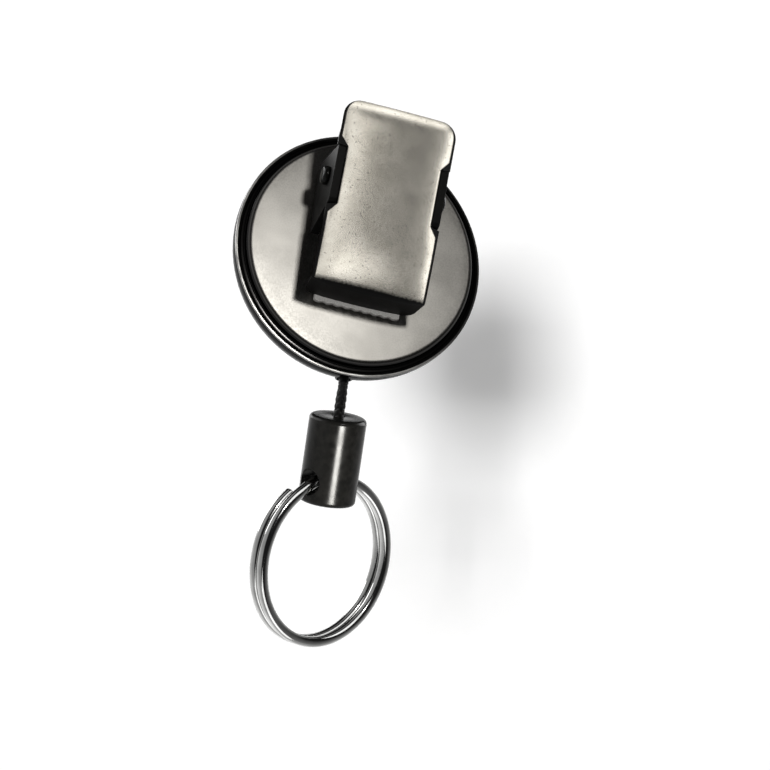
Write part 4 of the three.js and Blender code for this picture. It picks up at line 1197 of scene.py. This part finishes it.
def stop_ferrule():
    """The sleeve on the end of the cord that holds the barrel."""
    top = -CORD_SHOWN - BARREL_ROOF - FERRULE_GAP
    bottom = top - FERRULE_LENGTH
    socket = top - FERRULE_SOCKET
    face = FERRULE_RADIUS - FERRULE_EDGE
    profile = [(0, bottom), (face, bottom), (FERRULE_RADIUS, bottom + FERRULE_EDGE)]
    profile += [(FERRULE_RADIUS, top - FERRULE_EDGE), (face, top)]
    profile += [(CORD_BORE, top), (CORD_BORE, socket), (0, socket)]
    ferrule = revolve("stop_ferrule_sleeve", profile, upright(HANG), SMALL_ROUND)
    finish_edges(ferrule, width=0.08)
    dress(ferrule, DARK_STEEL, "cord_end", "dark_steel", "stop_ferrule")


def end_barrel():
    """The barrel, hollow below its roof, with a cross hole for the ring."""
    end = -CORD_SHOWN - BARREL_LENGTH
    roof = -CORD_SHOWN - BARREL_ROOF
    round_x = BARREL_RADIUS - BARREL_EDGE
    profile = [(BARREL_CHAMBER, end), *arc(round_x, end + BARREL_EDGE, BARREL_EDGE, -QUARTER, 0)]
    profile += arc(round_x, -CORD_SHOWN - BARREL_EDGE, BARREL_EDGE, 0, QUARTER)
    profile += [(CORD_BORE, -CORD_SHOWN), (CORD_BORE, roof), (BARREL_CHAMBER, roof)]
    barrel = revolve("end_barrel_body", profile, upright(BARREL), BARREL_ROUND)
    cut(barrel, bar("x", RING_HOLE, (0, 0, RING_HOLE_Z), 4 * BARREL_RADIUS, BARREL))
    finish_edges(barrel, width=0.15, segments=3)
    dress(barrel, BARREL_BLACK, "barrel", "case_black", "end_barrel")


def split_ring():
    """Two turns of flat strand that change places where the ring is opened."""
    place = BARREL @ Matrix.Translation((0, 0, RING_HOLE_Z)) @ Matrix.Rotation(RING_TILT, 4, "X")
    centre_z = RING_SAG / 2 - RING_RADIUS
    crossing = TURN - RING_CROSSING
    path = []
    for share in shares(RING_STEPS):
        travel = RING_SWEEP * share
        angle = RING_END + travel
        y = STRAND_PITCH * (0.5 - smooth((travel - crossing) / RING_CROSSING))
        path.append(Vector((-RING_RADIUS * sin(angle), y, centre_z + RING_RADIUS * cos(angle))))
    wider, thicker = STRAND_FULLNESS
    section = flat_section(STRAND_RADIAL + wider, STRAND_AXIAL + thicker, STRAND_CORNER)
    ring = sweep("split_ring_coil", path, section, place)
    finish_edges(ring, width=0.12, angle=RING_SHARP)
    dress(ring, CHROME, "ring", "ring_chrome", "split_ring")


# Camera, stage and light
def camera():
    data = bpy.data.cameras.new("camera")
    data.sensor_width = SENSOR
    data.lens = SENSOR * CAMERA_DISTANCE / (FRAME_WIDTH_MM * MM)
    data.clip_start, data.clip_end = CAMERA_RANGE
    obj = add_object("camera", data)
    up = VIEW_BACK.cross(VIEW_RIGHT)
    turn = Matrix((VIEW_RIGHT, up, VIEW_BACK)).transposed().to_4x4()
    obj.matrix_world = Matrix.Translation(AIM + VIEW_BACK * CAMERA_DISTANCE) @ turn
    scene.camera = obj


def area_light(name, way, distance, size, power, colour, target):
    """A rectangular lamp that faces a target from a direction."""
    data = bpy.data.lights.new(name, "AREA")
    data.shape = "RECTANGLE"
    data.size, data.size_y = size
    data.energy = power
    data.color = colour
    obj = add_object(name, data)
    way = Vector(way).normalized()
    turn = way.to_track_quat("Z", "Y").to_matrix().to_4x4()
    obj.matrix_world = Matrix.Translation(target + way * distance) @ turn
    return obj


def shine_on(lamp, *names, state="INCLUDE"):
    """Keeps a lamp's light to the named objects, or off them."""
    receivers = bpy.data.collections.new(lamp.name + "_receivers")
    for name in names:
        receivers.objects.link(bpy.data.objects[name])
    for linked in receivers.collection_objects:
        linked.light_linking.link_state = state
    lamp.light_linking.receiver_collection = receivers


def lights():
    """The lamps, most of them kept to the piece that they are set for."""
    targets = {
        STREAKED: HANG @ Vector((0, 0, -CORD_SHOWN - BARREL_LENGTH / 2)),
        RING: BARREL @ Vector((0, 0, RING_HOLE_Z - RING_RADIUS)),
    }
    for name, (way, distance, size, power, piece) in LAMPS.items():
        target = targets.get(piece, Vector())
        lamp = area_light(name, way, distance, size, power, TINTS.get(name, WHITE), target)
        if piece:
            shine_on(lamp, piece)
        if name in LAMP_MISSES:
            shine_on(lamp, *LAMP_MISSES[name], state="EXCLUDE")


def backdrop_paper():
    """Pale paper that glows a little for the camera, and is clear from behind."""
    material = bpy.data.materials.new("backdrop_paper")
    material.use_nodes = True
    tree = material.node_tree
    tree.nodes.clear()
    coords = tree.nodes.new("ShaderNodeTexCoord").outputs["Object"]
    colour = shade(noise(coords, size_mm=1.5), grey(0.79), grey(0.81))
    matt = node("BsdfDiffuse", {"Color": colour})
    glow = feed(tree.nodes.new("ShaderNodeEmission"), {"Strength": BACKDROP_GLOW}).outputs[0]
    lit = node("AddShader", {0: matt, 1: glow})
    for_camera = tree.nodes.new("ShaderNodeLightPath").outputs["Is Camera Ray"]
    front = node("MixShader", {0: for_camera, 1: matt, 2: lit})
    clear = tree.nodes.new("ShaderNodeBsdfTransparent").outputs[0]
    behind = tree.nodes.new("ShaderNodeNewGeometry").outputs["Backfacing"]
    both = node("MixShader", {0: behind, 1: front, 2: clear})
    feed(tree.nodes.new("ShaderNodeOutputMaterial"), {0: both})
    return material


def backdrop():
    """A sheet behind the object, across the view."""
    centre = AIM - VIEW_BACK * BACKDROP_DISTANCE
    corners = []
    for x, y in ((-1, -1), (1, -1), (1, 1), (-1, 1)):
        corners.append(centre + (VIEW_RIGHT * x + VIEW_UP * y) * BACKDROP_HALF)
    mesh = bpy.data.meshes.new("backdrop")
    mesh.from_pydata(corners, [], [(0, 1, 2, 3)])
    mesh.materials.append(backdrop_paper())
    sheet = add_object("backdrop", mesh)


def world():
    """White where the camera looks, and where a reflection looks behind the object; else a dim room."""
    made = bpy.data.worlds.new("studio")
    scene.world = made
    made.use_nodes = True
    tree = made.node_tree
    tree.nodes.clear()
    way = tree.nodes.new("ShaderNodeTexCoord").outputs["Generated"]
    depth = node("SeparateXYZ", {0: way}, "Y")
    dark = remap(reach(way, DARK_WAY), 0, 1, *DARK_SPAN)
    back = remap(depth, 0, 1, *BACK_SPAN)
    shaded = remap(reach(way, SHADE_WAY), 0, 1, *SHADE_SPAN)
    room = grey(0.35)
    for share, tone in ((dark, 0.012), (back, 0.7), (shaded, 0.02)):
        room = blend_colours(share, room, grey(tone))
    dim = node("Background", {"Color": room})
    white = feed(tree.nodes.new("ShaderNodeBackground"), {"Color": (*WHITE, 1)}).outputs[0]
    rays = tree.nodes.new("ShaderNodeLightPath").outputs
    mirrored = calc("MAXIMUM", rays["Is Glossy Ray"], rays["Is Transmission Ray"])
    mirrored = calc("MULTIPLY", mirrored, remap(depth, 0, 1, *MIRRORED_SPAN))
    shown = calc("MAXIMUM", rays["Is Camera Ray"], mirrored)
    mix = node("MixShader", {0: shown, 1: dim, 2: white})
    feed(tree.nodes.new("ShaderNodeOutputWorld"), {0: mix})


camera()
front_cover()
back_cover()
outlet_bushing()
swivel_rivet()
swivel_washer()
inner_parts()
clip_base()
clip_lever()
hinge_pin()
clip_spring()
mainspring()
cord_inner_layers()
cord_outer_layer()
cord_lead()
cord_stretch()
stop_ferrule()
end_barrel()
split_ring()
backdrop()
lights()
world()
scene.view_settings.view_transform = "Standard"
